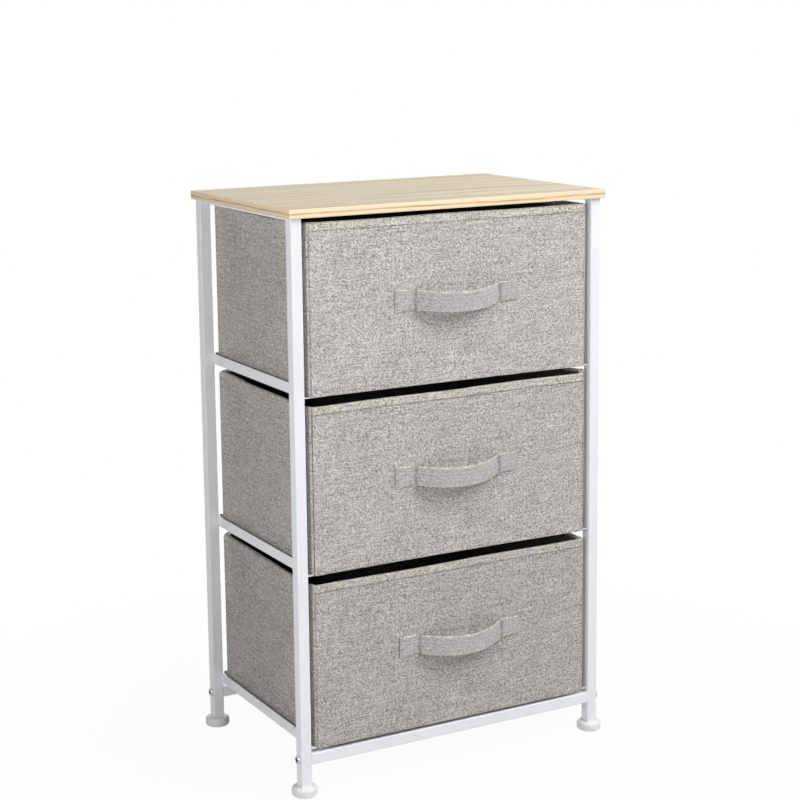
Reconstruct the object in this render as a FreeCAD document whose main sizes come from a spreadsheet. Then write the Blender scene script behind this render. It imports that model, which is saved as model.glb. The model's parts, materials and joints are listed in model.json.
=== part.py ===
"""A bedside stand: a welded and bolted tube frame, a wood top and three cloth drawers on runners.

Millimetres, +Z up, the front towards -Y. The origin is on the floor, under the middle of the whole box,
handles included. Every length comes from the spreadsheet, and each formula is written once as a Size,
which carries both the text that FreeCAD binds and the value that a new sketch starts from.
"""
import FreeCAD
import Part
import os

import Sketcher

os.makedirs("parts", exist_ok=True)
doc = FreeCAD.newDocument("bedside_stand")

# Driving dimensions
DIMENSIONS = {
    "total_height": 730.0,
    "centre_back": 7.625,
    "board_width": 450.0,
    "board_depth": 296.0,
    "board_thickness": 11.0,
    "band_thickness": 0.8,
    "band_round": 0.6,
    "frame_width": 442.0,
    "frame_depth": 284.0,
    "tube_size": 14.5,
    "tube_wall": 1.0,
    "tube_corner": 1.2,
    "foot_height": 12.0,
    "foot_radius": 16.0,
    "foot_top_round": 4.5,
    "foot_bottom_round": 3.0,
    "stud_radius": 2.95,
    "stud_seat": 5.0,
    "stud_length": 26.0,
    "stud_play": 0.05,
    "insert_length": 22.0,
    "insert_play": 0.05,
    "rail_top": 54.0,
    "plug_length": 16.0,
    "bolt_radius": 2.95,
    "bolt_hole_radius": 3.2,
    "bolt_head_radius": 6.0,
    "bolt_head_height": 3.0,
    "bolt_dome": 2.2,
    "bolt_length": 29.0,
    "cross_slot": 1.2,
    "cross_reach": 3.2,
    "cross_depth": 1.6,
    "runner_first": 59.2,
    "runner_pitch": 221.0,
    "runner_height": 13.3,
    "runner_width": 26.0,
    "runner_gauge": 1.2,
    "runner_bend": 1.0,
    "flange_length": 278.5,
    "flange_setback": 3.0,
    "leg_setback": 8.5,
    "stop_height": 14.0,
    "stop_inset": 4.0,
    "top_bar_thickness": 3.0,
    "screw_radius": 1.95,
    "screw_hole_radius": 2.3,
    "screw_pilot_radius": 2.0,
    "screw_head_radius": 4.0,
    "screw_head_height": 2.2,
    "screw_bite": 8.0,
    "screw_spread": 90.0,
    "drawer_width": 398.0,
    "drawer_depth": 274.0,
    "drawer_height": 205.0,
    "drawer_recess": 1.0,
    "slide_gap": 0.3,
    "cover_cloth": 1.0,
    "cover_corner": 3.0,
    "wall_board": 2.5,
    "rim_slack": 3.0,
    "lining_cloth": 0.8,
    "base_cloth": 1.0,
    "base_board": 3.0,
    "base_play": 0.5,
    "handle_length": 177.0,
    "handle_tab": 27.0,
    "handle_width": 25.0,
    "handle_reach": 25.0,
    "strap_thickness": 1.8,
    "handle_level": 106.8,
    "handle_offset": 5.0,
}

sheet = doc.addObject("Spreadsheet::Sheet", "Sizes")
for row, (alias, number) in enumerate(DIMENSIONS.items(), start=1):
    sheet.set("A%d" % row, alias)
    sheet.set("B%d" % row, str(number))
    sheet.setAlias("B%d" % row, alias)
doc.recompute()


class Size:
    """A length with its spreadsheet formula and its present value."""

    def __init__(self, text, value):
        self.text = text
        self.value = value

    @staticmethod
    def of(number):
        """Gives a Size for a Size or a plain number."""
        if isinstance(number, Size):
            return number
        return Size(repr(float(number)), float(number))

    def joined(self, sign, other, value):
        """Gives the Size whose formula joins two others with a sign."""
        return Size("(%s %s %s)" % (self.text, sign, other.text), value)

    def __add__(self, other):
        other = Size.of(other)
        return self.joined("+", other, self.value + other.value)

    def __sub__(self, other):
        other = Size.of(other)
        return self.joined("-", other, self.value - other.value)

    def __mul__(self, other):
        other = Size.of(other)
        return self.joined("*", other, self.value * other.value)

    def __truediv__(self, other):
        other = Size.of(other)
        return self.joined("/", other, self.value / other.value)

    def __neg__(self):
        return Size("(0 - %s)" % self.text, -self.value)

    def __radd__(self, other):
        return Size.of(other) + self

    def __rsub__(self, other):
        return Size.of(other) - self

    def __rmul__(self, other):
        return Size.of(other) * self


def size(alias):
    """Gives the Size of one spreadsheet cell."""
    return Size("Sizes." + alias, DIMENSIONS[alias])


def bind(item, name, length):
    """Binds a property to a formula."""
    item.setExpression(name, Size.of(length).text)


def place(item, x, y, z):
    """Binds an object's position, with the frame's middle set back from the origin."""
    bind(item, "Placement.Base.x", x)
    bind(item, "Placement.Base.y", Size.of(y) + size("centre_back"))
    bind(item, "Placement.Base.z", z)
    return item


# Sketches and features
def new_body(label):
    """Adds an empty body."""
    body = doc.addObject("PartDesign::Body", label)
    body.Label = label
    return body


def new_sketch(body, name, role):
    """Adds a sketch on one of the body's own origin planes."""
    plane = [item for item in body.Origin.OriginFeatures if item.Role == role][0]
    sketch = body.newObject("Sketcher::SketchObject", body.Name + "_" + name)
    sketch.AttachmentSupport = (plane, [""])
    sketch.MapMode = "FlatFace"
    return sketch


def fix(sketch, kind, geometry, point, length):
    """Binds one coordinate of a point of the sketch."""
    length = Size.of(length)
    index = sketch.addConstraint(Sketcher.Constraint(kind, -1, 1, geometry, point, length.value))
    name = "fixed%d" % index
    sketch.renameConstraint(index, name)
    sketch.setExpression("Constraints." + name, length.text)


def fix_radius(sketch, geometry, length):
    """Binds the radius of a circle or an arc."""
    index = sketch.addConstraint(Sketcher.Constraint("Radius", geometry, length.value))
    name = "fixed%d" % index
    sketch.renameConstraint(index, name)
    sketch.setExpression("Constraints." + name, length.text)


def outline(sketch, corners):
    """Draws a closed outline of straight lines whose corners are all bound."""
    corners = [(Size.of(x), Size.of(y)) for x, y in corners]
    points = [FreeCAD.Vector(x.value, y.value, 0) for x, y in corners]
    lines = []
    for start, end in zip(points, points[1:] + points[:1]):
        lines.append(sketch.addGeometry(Part.LineSegment(start, end), False))
    for line, following in zip(lines, lines[1:] + lines[:1]):
        sketch.addConstraint(Sketcher.Constraint("Coincident", line, 2, following, 1))
    for line, (x, y) in zip(lines, corners):
        fix(sketch, "DistanceX", line, 1, x)
        fix(sketch, "DistanceY", line, 1, y)


def rectangle(sketch, half_x, half_y, middle_x=0, middle_y=0):
    """Draws a bound rectangle about a middle point."""
    outline(
        sketch,
        [
            (middle_x - half_x, middle_y - half_y),
            (middle_x + half_x, middle_y - half_y),
            (middle_x + half_x, middle_y + half_y),
            (middle_x - half_x, middle_y + half_y),
        ],
    )


def circle(sketch, x, y, radius):
    """Draws a bound circle."""
    x = Size.of(x)
    y = Size.of(y)
    middle = FreeCAD.Vector(x.value, y.value, 0)
    ring = sketch.addGeometry(Part.Circle(middle, FreeCAD.Vector(0, 0, 1), radius.value), False)
    fix(sketch, "DistanceX", ring, 3, x)
    fix(sketch, "DistanceY", ring, 3, y)
    fix_radius(sketch, ring, radius)


def pad(body, sketch, length, midplane=False, reverse=False):
    """Pads a sketch by a bound length."""
    feature = body.newObject("PartDesign::Pad", sketch.Name + "_pad")
    feature.Profile = sketch
    bind(feature, "Length", length)
    if midplane:
        feature.Midplane = True
    feature.Reversed = reverse
    sketch.Visibility = False
    doc.recompute()
    return feature


def pocket(body, sketch, length, reverse=False):
    """Cuts a sketch into the body by a bound length, or both ways right through when it has none."""
    before = body.Shape.Volume
    feature = body.newObject("PartDesign::Pocket", sketch.Name + "_pocket")
    feature.Profile = sketch
    if length is None:
        feature.Type = "ThroughAll"
        feature.Midplane = True
    else:
        bind(feature, "Length", length)
        feature.Reversed = reverse
    sketch.Visibility = False
    doc.recompute()
    if body.Shape.Volume >= before:
        raise RuntimeError("nothing was cut by " + feature.Name)
    return feature


def revolve(body, sketch):
    """Turns a sketch about its own upright axis."""
    feature = body.newObject("PartDesign::Revolution", sketch.Name + "_turn")
    feature.Profile = sketch
    feature.ReferenceAxis = (sketch, ["V_Axis"])
    feature.Angle = 360.0
    sketch.Visibility = False
    doc.recompute()
    return feature


def fillet(body, feature, chosen, radius):
    """Rounds the edges that a test picks, by a bound radius."""
    names = ["Edge%d" % (i + 1) for i, edge in enumerate(feature.Shape.Edges) if chosen(edge)]
    if not names:
        raise RuntimeError("no edge to round on " + feature.Name)
    rounded = body.newObject("PartDesign::Fillet", feature.Name + "_fillet")
    rounded.Base = (feature, names)
    bind(rounded, "Radius", radius)
    doc.recompute()
    return rounded


def along(edge, axis):
    """Tells whether an edge is straight and runs along an axis."""
    if not isinstance(edge.Curve, (Part.Line, Part.LineSegment)):
        return False
    return abs(edge.tangentAt(edge.FirstParameter).dot(axis)) > 0.999


def box(label, length, width, height):
    """Adds a block whose three sides are bound."""
    block = doc.addObject("Part::Box", label)
    block.Label = label
    bind(block, "Length", length)
    bind(block, "Width", width)
    bind(block, "Height", height)
    return block


def cylinder(label, radius, height):
    """Adds a bound upright cylinder."""
    round_bar = doc.addObject("Part::Cylinder", label)
    round_bar.Label = label
    bind(round_bar, "Radius", radius)
    bind(round_bar, "Height", height)
    return round_bar


def cut(label, base, tool):
    """Takes one object from another."""
    result = doc.addObject("Part::Cut", label)
    result.Label = label
    result.Base = base
    result.Tool = tool
    return result


def group(label, members):
    """Puts alike pieces together as one sub-part."""
    together = doc.addObject("Part::Compound", label)
    together.Label = label
    together.Links = members
    return together


X_AXIS = FreeCAD.Vector(1, 0, 0)
Z_AXIS = FreeCAD.Vector(0, 0, 1)
SIDES = {"left": -1, "right": 1}
ENDS = {"front": -1, "rear": 1}
LEVELS = {"bottom": 0, "middle": 1, "top": 2}

tube = size("tube_size")
half_tube = tube / 2
half_bore = half_tube - size("tube_wall")
post_x = size("frame_width") / 2 - half_tube
post_y = size("frame_depth") / 2 - half_tube
board_bottom = size("total_height") - size("board_thickness")
rail_axis = size("rail_top") - half_tube
nodes = []


# Frame tubes
def make_post(label, side, end):
    """Builds one upright: square tube, rounded along its length and drilled for the rail's bolt."""
    body = new_body(label)
    section = new_sketch(body, "section", "XY_Plane")
    rectangle(section, half_tube, half_tube)
    rectangle(section, half_bore, half_bore)
    length = board_bottom - size("foot_height")
    tube_pad = pad(body, section, length)

    def outer_corner(edge):
        middle = edge.CenterOfMass
        return along(edge, Z_AXIS) and abs(middle.x) > half_bore.value + 0.1

    fillet(body, tube_pad, outer_corner, size("tube_corner"))
    drill = new_sketch(body, "drill", "YZ_Plane")
    circle(drill, 0, rail_axis - size("foot_height"), size("bolt_hole_radius"))
    pocket(body, drill, None)
    place(body, side * post_x, end * post_y, size("foot_height"))
    nodes.append(body)


def make_rail(label, end):
    """Builds one bottom cross rail: square tube between two uprights."""
    body = new_body(label)
    section = new_sketch(body, "section", "YZ_Plane")
    rectangle(section, half_tube, half_tube)
    rectangle(section, half_bore, half_bore)
    tube_pad = pad(body, section, size("frame_width") - tube * 2, midplane=True)

    def outer_corner(edge):
        middle = edge.CenterOfMass
        return along(edge, X_AXIS) and abs(middle.y) > half_bore.value + 0.1

    fillet(body, tube_pad, outer_corner, size("tube_corner"))
    place(body, 0, end * post_y, rail_axis)
    nodes.append(body)


def make_top_bar(label, side):
    """Builds one flat bar between the tops of two uprights, drilled for the board's screws."""
    length = size("frame_depth") - tube * 2
    bar = box(label + "_flat", tube, length, size("top_bar_thickness"))
    level = board_bottom - size("top_bar_thickness")
    place(bar, side * post_x - half_tube, -(length / 2), level)
    for name, end in ENDS.items():
        drill = cylinder(label + "_drill_" + name, size("screw_hole_radius"), size("top_bar_thickness"))
        place(drill, side * post_x, end * size("screw_spread"), level)
        bar = cut(label + "_drilled_" + name, bar, drill)
    bar.Label = label
    nodes.append(bar)


for end_name, end in ENDS.items():
    for side_name, side in SIDES.items():
        make_post("post_%s_%s" % (end_name, side_name), side, end)
    make_rail("cross_rail_" + end_name, end)
for side_name, side in SIDES.items():
    make_top_bar("top_bar_" + side_name, side)


# Drawer runners
def make_runner(label, side, level):
    """Builds one angle runner: a leg on the uprights' inner faces, a flange under the drawer and a stop."""
    body = new_body(label)
    gauge = size("runner_gauge")
    half_leg = size("frame_depth") / 2
    leg = new_sketch(body, "leg", "XY_Plane")
    inward = -side
    leg_front = size("leg_setback") - half_leg
    outline(leg, [(0, leg_front), (inward * gauge, leg_front), (inward * gauge, half_leg), (0, half_leg)])
    leg_pad = pad(body, leg, size("runner_height"))
    flange = new_sketch(body, "flange", "XY_Plane")
    front = size("flange_setback") - half_leg
    rear = size("flange_length") - half_leg
    width = inward * size("runner_width")
    outline(flange, [(0, front), (width, front), (width, rear), (0, rear)])
    flange_pad = pad(body, flange, gauge)

    def bend(edge):
        middle = edge.CenterOfMass
        return (
            along(edge, FreeCAD.Vector(0, 1, 0))
            and abs(abs(middle.x) - gauge.value) < 0.01
            and abs(middle.z - gauge.value) < 0.01
        )

    fillet(body, flange_pad, bend, size("runner_bend"))
    stop = new_sketch(body, "stop", "XY_Plane")
    near = inward * (gauge + size("stop_inset"))
    outline(stop, [(near, rear - gauge), (width, rear - gauge), (width, rear), (near, rear)])
    pad(body, stop, size("stop_height"))
    height = size("runner_first") + level * size("runner_pitch")
    place(body, side * (size("frame_width") / 2 - tube), 0, height)
    nodes.append(body)
    return leg_pad


for level_name, level in LEVELS.items():
    for side_name, side in SIDES.items():
        make_runner("runner_%s_%s" % (level_name, side_name), side, level)


# Bolts and the plugs they bite into
def make_bolt(label, side, end):
    """Builds one domed bolt with a cross recess, turned to run inwards from the frame's side."""
    body = new_body(label)
    profile = new_sketch(body, "profile", "XZ_Plane")
    head = size("bolt_head_height")
    outline(
        profile,
        [
            (0, -size("bolt_length")),
            (size("bolt_radius"), -size("bolt_length")),
            (size("bolt_radius"), 0),
            (size("bolt_head_radius"), 0),
            (size("bolt_head_radius"), head),
            (0, head),
        ],
    )
    turned = revolve(body, profile)

    def brow(edge):
        return isinstance(edge.Curve, Part.Circle) and abs(edge.CenterOfMass.z - head.value) < 0.01

    fillet(body, turned, brow, size("bolt_dome"))
    for name, reach_x, reach_y in (("across", "cross_reach", "cross_slot"), ("along", "cross_slot", "cross_reach")):
        slot = new_sketch(body, name, "XY_Plane")
        slot.AttachmentOffset = FreeCAD.Placement(FreeCAD.Vector(0, 0, head.value), FreeCAD.Rotation())
        bind(slot, "AttachmentOffset.Base.z", head)
        half_x = size(reach_x) if reach_x == "cross_reach" else size(reach_x) / 2
        half_y = size(reach_y) if reach_y == "cross_reach" else size(reach_y) / 2
        rectangle(slot, half_x, half_y)
        pocket(body, slot, size("cross_depth"))
    body.Placement = FreeCAD.Placement(
        FreeCAD.Vector(0, 0, 0), FreeCAD.Rotation(FreeCAD.Vector(0, 1, 0), side * 90)
    )
    place(body, side * (size("frame_width") / 2), end * post_y, rail_axis)
    return body


def make_plug(label, side, end):
    """Builds one threaded plug in the end of a cross rail."""
    half = half_bore - size("insert_play")
    length = size("plug_length")
    block = box(label + "_block", length, half * 2, half * 2)
    outer_end = size("frame_width") / 2 - tube
    start = outer_end - length if side > 0 else -outer_end
    place(block, start, end * post_y - half, rail_axis - half)
    bore = cylinder(label + "_bore", size("bolt_radius") + size("stud_play"), length)
    bore.Placement = FreeCAD.Placement(
        FreeCAD.Vector(0, 0, 0), FreeCAD.Rotation(FreeCAD.Vector(0, 1, 0), 90)
    )
    place(bore, start, end * post_y, rail_axis)
    return cut(label, block, bore)


corners = [(a, b, SIDES[b], ENDS[a]) for a in ENDS for b in SIDES]
nodes.append(group("rail_bolts", [make_bolt("bolt_%s_%s" % (a, b), s, e) for a, b, s, e in corners]))
nodes.append(group("rail_plugs", [make_plug("plug_%s_%s" % (a, b), s, e) for a, b, s, e in corners]))


# Board and its screws
def make_board():
    """Builds the board's core with the screws' pilot holes in its underside."""
    body = new_body("top_panel")
    plan = new_sketch(body, "plan", "XY_Plane")
    band = size("band_thickness")
    rectangle(plan, size("board_width") / 2 - band, size("board_depth") / 2 - band)
    pad(body, plan, size("board_thickness"))
    pilots = new_sketch(body, "pilots", "XY_Plane")
    for side in SIDES.values():
        for end in ENDS.values():
            circle(pilots, side * post_x, end * size("screw_spread"), size("screw_pilot_radius"))
    pocket(body, pilots, size("screw_bite"), reverse=True)
    place(body, 0, 0, board_bottom)
    nodes.append(body)


def make_edge_band():
    """Builds the band round the board's four edges, with its outer arrises eased."""
    body = new_body("top_edge_band")
    plan = new_sketch(body, "plan", "XY_Plane")
    band = size("band_thickness")
    half_wide = size("board_width") / 2
    half_deep = size("board_depth") / 2
    rectangle(plan, half_wide, half_deep)
    rectangle(plan, half_wide - band, half_deep - band)
    ring = pad(body, plan, size("board_thickness"))

    def outer(edge):
        middle = edge.CenterOfMass
        on_side = abs(abs(middle.x) - half_wide.value) < 0.01
        return on_side or abs(abs(middle.y) - half_deep.value) < 0.01

    fillet(body, ring, outer, size("band_round"))
    place(body, 0, 0, board_bottom)
    nodes.append(body)


def make_screw(label, side, end):
    """Builds one pan-head screw that holds the board down from below."""
    body = new_body(label)
    profile = new_sketch(body, "profile", "XZ_Plane")
    head = size("screw_head_height")
    reach = size("top_bar_thickness") + size("screw_bite") - 0.5
    outline(
        profile,
        [
            (0, -head),
            (size("screw_head_radius") - head / 2, -head),
            (size("screw_head_radius"), -(head / 2)),
            (size("screw_head_radius"), 0),
            (size("screw_radius"), 0),
            (size("screw_radius"), reach - 2),
            (0, reach),
        ],
    )
    revolve(body, profile)
    place(body, side * post_x, end * size("screw_spread"), board_bottom - size("top_bar_thickness"))
    return body


make_board()
make_edge_band()
nodes.append(group("top_screws", [make_screw("screw_%s_%s" % (a, b), s, e) for a, b, s, e in corners]))


# Levelling feet
def make_foot(label, side, end):
    """Builds the round base of one foot, with a blind seat for its stud."""
    body = new_body(label)
    profile = new_sketch(body, "profile", "XZ_Plane")
    outline(
        profile,
        [
            (0, 0),
            (size("foot_radius"), 0),
            (size("foot_radius"), size("foot_height")),
            (size("stud_radius"), size("foot_height")),
            (size("stud_radius"), size("stud_seat")),
            (0, size("stud_seat")),
        ],
    )
    turned = revolve(body, profile)

    def rim(edge, height):
        middle = edge.CenterOfMass
        if not isinstance(edge.Curve, Part.Circle):
            return False
        return edge.Curve.Radius > size("foot_radius").value - 0.1 and abs(middle.z - height) < 0.01

    upper = fillet(body, turned, lambda edge: rim(edge, size("foot_height").value), size("foot_top_round"))
    fillet(body, upper, lambda edge: rim(edge, 0), size("foot_bottom_round"))
    place(body, side * post_x, end * post_y, 0)
    nodes.append(body)


def make_stud(label, side, end):
    """Builds the stud of one foot."""
    stud = cylinder(label, size("stud_radius"), size("stud_length"))
    place(stud, side * post_x, end * post_y, size("stud_seat"))
    nodes.append(stud)


def make_insert(label, side, end):
    """Builds the threaded insert in the bottom of one upright."""
    half = half_bore - size("insert_play")
    block = box(label + "_block", half * 2, half * 2, size("insert_length"))
    place(block, side * post_x - half, end * post_y - half, size("foot_height"))
    bore = cylinder(label + "_bore", size("stud_radius") + size("stud_play"), size("insert_length"))
    place(bore, side * post_x, end * post_y, size("foot_height"))
    return cut(label, block, bore)


for a, b, s, e in corners:
    make_foot("foot_base_%s_%s" % (a, b), s, e)
    make_stud("foot_stud_%s_%s" % (a, b), s, e)
nodes.append(group("foot_inserts", [make_insert("insert_%s_%s" % (a, b), s, e) for a, b, s, e in corners]))


# Cloth drawers
drawer_front = size("drawer_recess") - size("frame_depth") / 2
half_width = size("drawer_width") / 2
half_depth = size("drawer_depth") / 2
cloth = size("cover_cloth")
board = size("wall_board")
wall = cloth + board + size("lining_cloth")


def make_cover(label, bottom):
    """Builds the outer cloth: four walls that turn in over the boards at the top."""
    body = new_body(label)
    plan = new_sketch(body, "plan", "XY_Plane")
    rectangle(plan, half_width, half_depth)
    block = pad(body, plan, size("drawer_height"))
    fillet(body, block, lambda edge: along(edge, Z_AXIS), size("cover_corner"))
    core = new_sketch(body, "core", "XY_Plane")
    rectangle(core, half_width - cloth, half_depth - cloth)
    pocket(body, core, size("drawer_height") - cloth, reverse=True)
    mouth = new_sketch(body, "mouth", "XY_Plane")
    rectangle(mouth, half_width - wall, half_depth - wall)
    pocket(body, mouth, size("drawer_height"), reverse=True)
    place(body, 0, drawer_front + half_depth, bottom)
    nodes.append(body)


def make_lining(label, bottom):
    """Builds the inner cloth: a floor out to the cover and four walls inside the boards."""
    body = new_body(label)
    floor = new_sketch(body, "floor", "XY_Plane")
    rectangle(floor, half_width - cloth, half_depth - cloth)
    pad(body, floor, size("base_cloth"))
    walls = new_sketch(body, "walls", "XY_Plane")
    rectangle(walls, half_width - cloth - board, half_depth - cloth - board)
    rectangle(walls, half_width - wall, half_depth - wall)
    pad(body, walls, size("drawer_height") - cloth)
    place(body, 0, drawer_front + half_depth, bottom)
    nodes.append(body)


def make_boards(label, bottom):
    """Builds the five stiffening boards between the two cloths."""
    height = size("drawer_height") - cloth - size("rim_slack") - size("base_cloth")
    level = bottom + size("base_cloth")
    wide = size("drawer_width") - cloth * 2
    front = box(label + "_front_board", wide, board, height)
    place(front, -(wide / 2), drawer_front + cloth, level)
    rear = box(label + "_rear_board", wide, board, height)
    place(rear, -(wide / 2), drawer_front + size("drawer_depth") - cloth - board, level)
    deep = size("drawer_depth") - (cloth + board) * 2
    left = box(label + "_left_board", board, deep, height)
    place(left, cloth - half_width, drawer_front + cloth + board, level)
    right = box(label + "_right_board", board, deep, height)
    place(right, half_width - cloth - board, drawer_front + cloth + board, level)
    play = wall + size("base_play")
    base_wide = size("drawer_width") - play * 2
    base_deep = size("drawer_depth") - play * 2
    base = box(label + "_base_board", base_wide, base_deep, size("base_board"))
    place(base, -(base_wide / 2), drawer_front + play, level)
    nodes.extend([front, rear, left, right, base])


def make_handle(label, bottom):
    """Builds one strap handle: two sewn tabs and a loop that bows forward between them."""
    body = new_body(label)
    plan = new_sketch(body, "plan", "XY_Plane")
    half = size("handle_length") / 2
    fold = half - size("handle_tab")
    thick = size("strap_thickness")
    reach = size("handle_reach")
    inner_rise = reach - thick
    inner_radius = (fold * fold + inner_rise * inner_rise) / (inner_rise * 2)
    outer_fold = fold + thick / 2
    outer_radius = (outer_fold * outer_fold + inner_rise * inner_rise) / (inner_rise * 2)
    stations = [
        (-half, 0),
        (-fold, 0),
        (fold, 0),
        (half, 0),
        (half, -thick),
        (outer_fold, -thick),
        (-outer_fold, -thick),
        (-half, -thick),
    ]
    stations = [(Size.of(x), Size.of(y)) for x, y in stations]
    points = [FreeCAD.Vector(x.value, y.value, 0) for x, y in stations]
    bows = {1: (-inner_rise, inner_radius), 5: (-reach, outer_radius)}
    pieces = []
    for index, start in enumerate(points):
        end = points[(index + 1) % len(points)]
        if index in bows:
            crown = FreeCAD.Vector(0, bows[index][0].value, 0)
            curve = Part.Arc(start, crown, end)
        else:
            curve = Part.LineSegment(start, end)
        pieces.append(sketch_point_order(plan, curve, start))
    for index, (piece, first, last) in enumerate(pieces):
        following, following_first, _ = pieces[(index + 1) % len(pieces)]
        plan.addConstraint(Sketcher.Constraint("Coincident", piece, last, following, following_first))
    for (piece, first, _), (x, y) in zip(pieces, stations):
        fix(plan, "DistanceX", piece, first, x)
        fix(plan, "DistanceY", piece, first, y)
    for index, (_, radius) in bows.items():
        fix_radius(plan, pieces[index][0], radius)
    pad(body, plan, size("handle_width"))
    level = bottom + size("handle_level") - size("handle_width") / 2
    place(body, size("handle_offset"), drawer_front, level)
    nodes.append(body)


def sketch_point_order(sketch, curve, start):
    """Adds a curve and gives its number with the numbers of its first and last points."""
    piece = sketch.addGeometry(curve, False)
    begins = sketch.getPoint(piece, 1).distanceToPoint(start) < 0.001
    return (piece, 1, 2) if begins else (piece, 2, 1)


for level_name, level in LEVELS.items():
    runner_top = size("runner_first") + level * size("runner_pitch") + size("runner_gauge")
    drawer_bottom = runner_top + size("slide_gap")
    make_cover("drawer_%s_cover" % level_name, drawer_bottom)
    make_lining("drawer_%s_lining" % level_name, drawer_bottom)
    make_boards("drawer_%s" % level_name, drawer_bottom)
    make_handle("drawer_%s_handle" % level_name, drawer_bottom)

# Checks and files
doc.recompute()
for item in doc.Objects:
    if "Invalid" in item.State or "Error" in item.State:
        raise RuntimeError("%s did not build: %s" % (item.Name, item.State))
for node in nodes:
    if node.Shape.isNull() or not node.Shape.isValid() or not node.Shape.Solids:
        raise RuntimeError(node.Label + " has no valid solid")
    node.Shape.exportStep("parts/%s.step" % node.Label)
print("wrote %d sub-parts" % len(nodes))
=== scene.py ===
"""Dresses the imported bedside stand: cloth drawers, strap handles, sewing, finishes, studio and camera.

Metres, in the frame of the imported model: +Z up, the drawers open towards -Y. Rigid nodes keep their solids
and get finishes. Every soft node is replaced by a surface worked out here from its packed box.
"""
import functools
import json
import logging
import math
from dataclasses import dataclass, replace
from enum import Enum
from typing import Sequence, Union

import bmesh
import bpy
import numpy as np
from mathutils import Matrix, Vector


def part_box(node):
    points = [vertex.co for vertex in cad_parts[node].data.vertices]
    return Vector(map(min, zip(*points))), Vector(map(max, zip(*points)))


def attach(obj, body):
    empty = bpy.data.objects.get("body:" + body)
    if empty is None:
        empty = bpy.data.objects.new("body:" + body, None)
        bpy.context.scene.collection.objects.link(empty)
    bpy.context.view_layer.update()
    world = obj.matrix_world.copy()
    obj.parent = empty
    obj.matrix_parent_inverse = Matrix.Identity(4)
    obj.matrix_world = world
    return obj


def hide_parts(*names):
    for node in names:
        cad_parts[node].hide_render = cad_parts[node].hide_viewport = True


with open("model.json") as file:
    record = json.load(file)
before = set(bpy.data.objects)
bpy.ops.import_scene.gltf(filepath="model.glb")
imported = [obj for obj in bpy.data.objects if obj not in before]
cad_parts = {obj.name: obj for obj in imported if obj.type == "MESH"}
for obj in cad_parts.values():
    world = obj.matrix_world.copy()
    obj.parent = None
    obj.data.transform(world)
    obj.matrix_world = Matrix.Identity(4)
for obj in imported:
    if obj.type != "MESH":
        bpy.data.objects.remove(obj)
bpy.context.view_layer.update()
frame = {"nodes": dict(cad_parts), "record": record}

LOG = logging.getLogger("bedside_stand")
IMAGE_PIXELS = 800
SENSOR_MM = 36.0
MM = 0.001
QUARTER_TURN = math.pi / 2
FULL_TURN = 2 * math.pi
SIDEWAYS = (1.0, 0.0, 0.0)
FORWARD = (0.0, -1.0, 0.0)
UPWARD = (0.0, 0.0, 1.0)

Array = np.ndarray
Item = bpy.types.Object
Material = bpy.types.Material
Node = bpy.types.Node
Socket = bpy.types.NodeSocket
Tree = bpy.types.NodeTree
Pair = tuple[float, float]
Triple = tuple[float, float, float]
Feed = Union[Socket, float, Sequence[float]]


class Level(Enum):
    """The three drawers, by the name that their nodes and body carry."""

    BOTTOM = "drawer_bottom"
    MIDDLE = "drawer_middle"
    TOP = "drawer_top"


class Slot(Enum):
    """The record's material slots."""

    POWDER = "powder_white"
    BOARD = "oak_laminate"
    BAND = "oak_edge"
    LINEN = "linen_cloth"
    STRAP = "strap_webbing"
    LINING = "black_lining"
    FIBRE = "fibre_board"
    ZINC = "zinc_steel"
    PLASTIC = "white_plastic"


class Mark(Enum):
    """The marks on cloth that its materials read: painted shading in sewn creases and strap folds, also used
    for the lining's lighter seams, and the hem's lighter band, also used for the painted highlight on the
    strap's edges and ends.
    """

    CREASE = "crease"
    BAND = "band"


# Sums on arrays

TINY = 1e-12


def unit(vectors: Array) -> Array:
    """Scales vectors, along the last axis, to length one."""
    return vectors / np.maximum(np.linalg.norm(vectors, axis=-1, keepdims=True), TINY)


def clamped(values: Array) -> Array:
    """Keeps values between 0 and 1."""
    return np.clip(values, 0, 1)


def smooth(share: Array) -> Array:
    """Gives a smooth step from 0 to 1 as the share goes from 0 to 1: 3 s^2 - 2 s^3."""
    return clamped(share) ** 2 * (3 - 2 * clamped(share))


def bell(distance: Array, width: float) -> Array:
    """Gives a bell of height 1 about distance 0: exp(-(d / w)^2)."""
    return np.exp(-((distance / width) ** 2))


def summed(steps: Array) -> Array:
    """Gives the running sum of steps, from 0."""
    return np.concatenate([[0.0], np.cumsum(steps)])


def distances(line: Array) -> Array:
    """Gives each point's distance from the first one, along a line of points."""
    return summed(np.linalg.norm(np.diff(line, axis=0), axis=-1))


def capped(rows: Array) -> Array:
    """Repeats the first and the last row."""
    return np.concatenate([rows[:1], rows, rows[-1:]])


# Meshes from arrays

QUAD = ((0, 0), (0, 1), (1, 1), (1, 0))
MERGE_DISTANCE = 1e-6
SPINDLE = np.array([-1.0, -0.8, -0.3, 0.3, 0.8, 1.0])
SPINDLE_SIDES = 6
SPINDLE_TIP = 0.02
SPINDLE_ARCH = 0.5


def quad_corners(rows: int, across: int, wide: int, steps: Sequence[tuple[int, int]]) -> Array:
    """Gives the point numbers of a grid's quads: quad (r, c) has the points (r + i, c + j) of its steps.

    Args:
        rows: Rows of points.
        across: Quads in a row.
        wide: Points in a row. A quad that passes the last point goes on from the first.
        steps: The corners' steps from the quad's own point, in order.

    Returns:
        Four numbers for each quad.
    """
    row = np.arange(rows - 1)[:, None]
    column = np.arange(across)[None, :]
    corners = [(row + i) * wide + (column + j) % wide for i, j in steps]
    return np.stack(corners, axis=-1).reshape(-1, 4)


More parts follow.
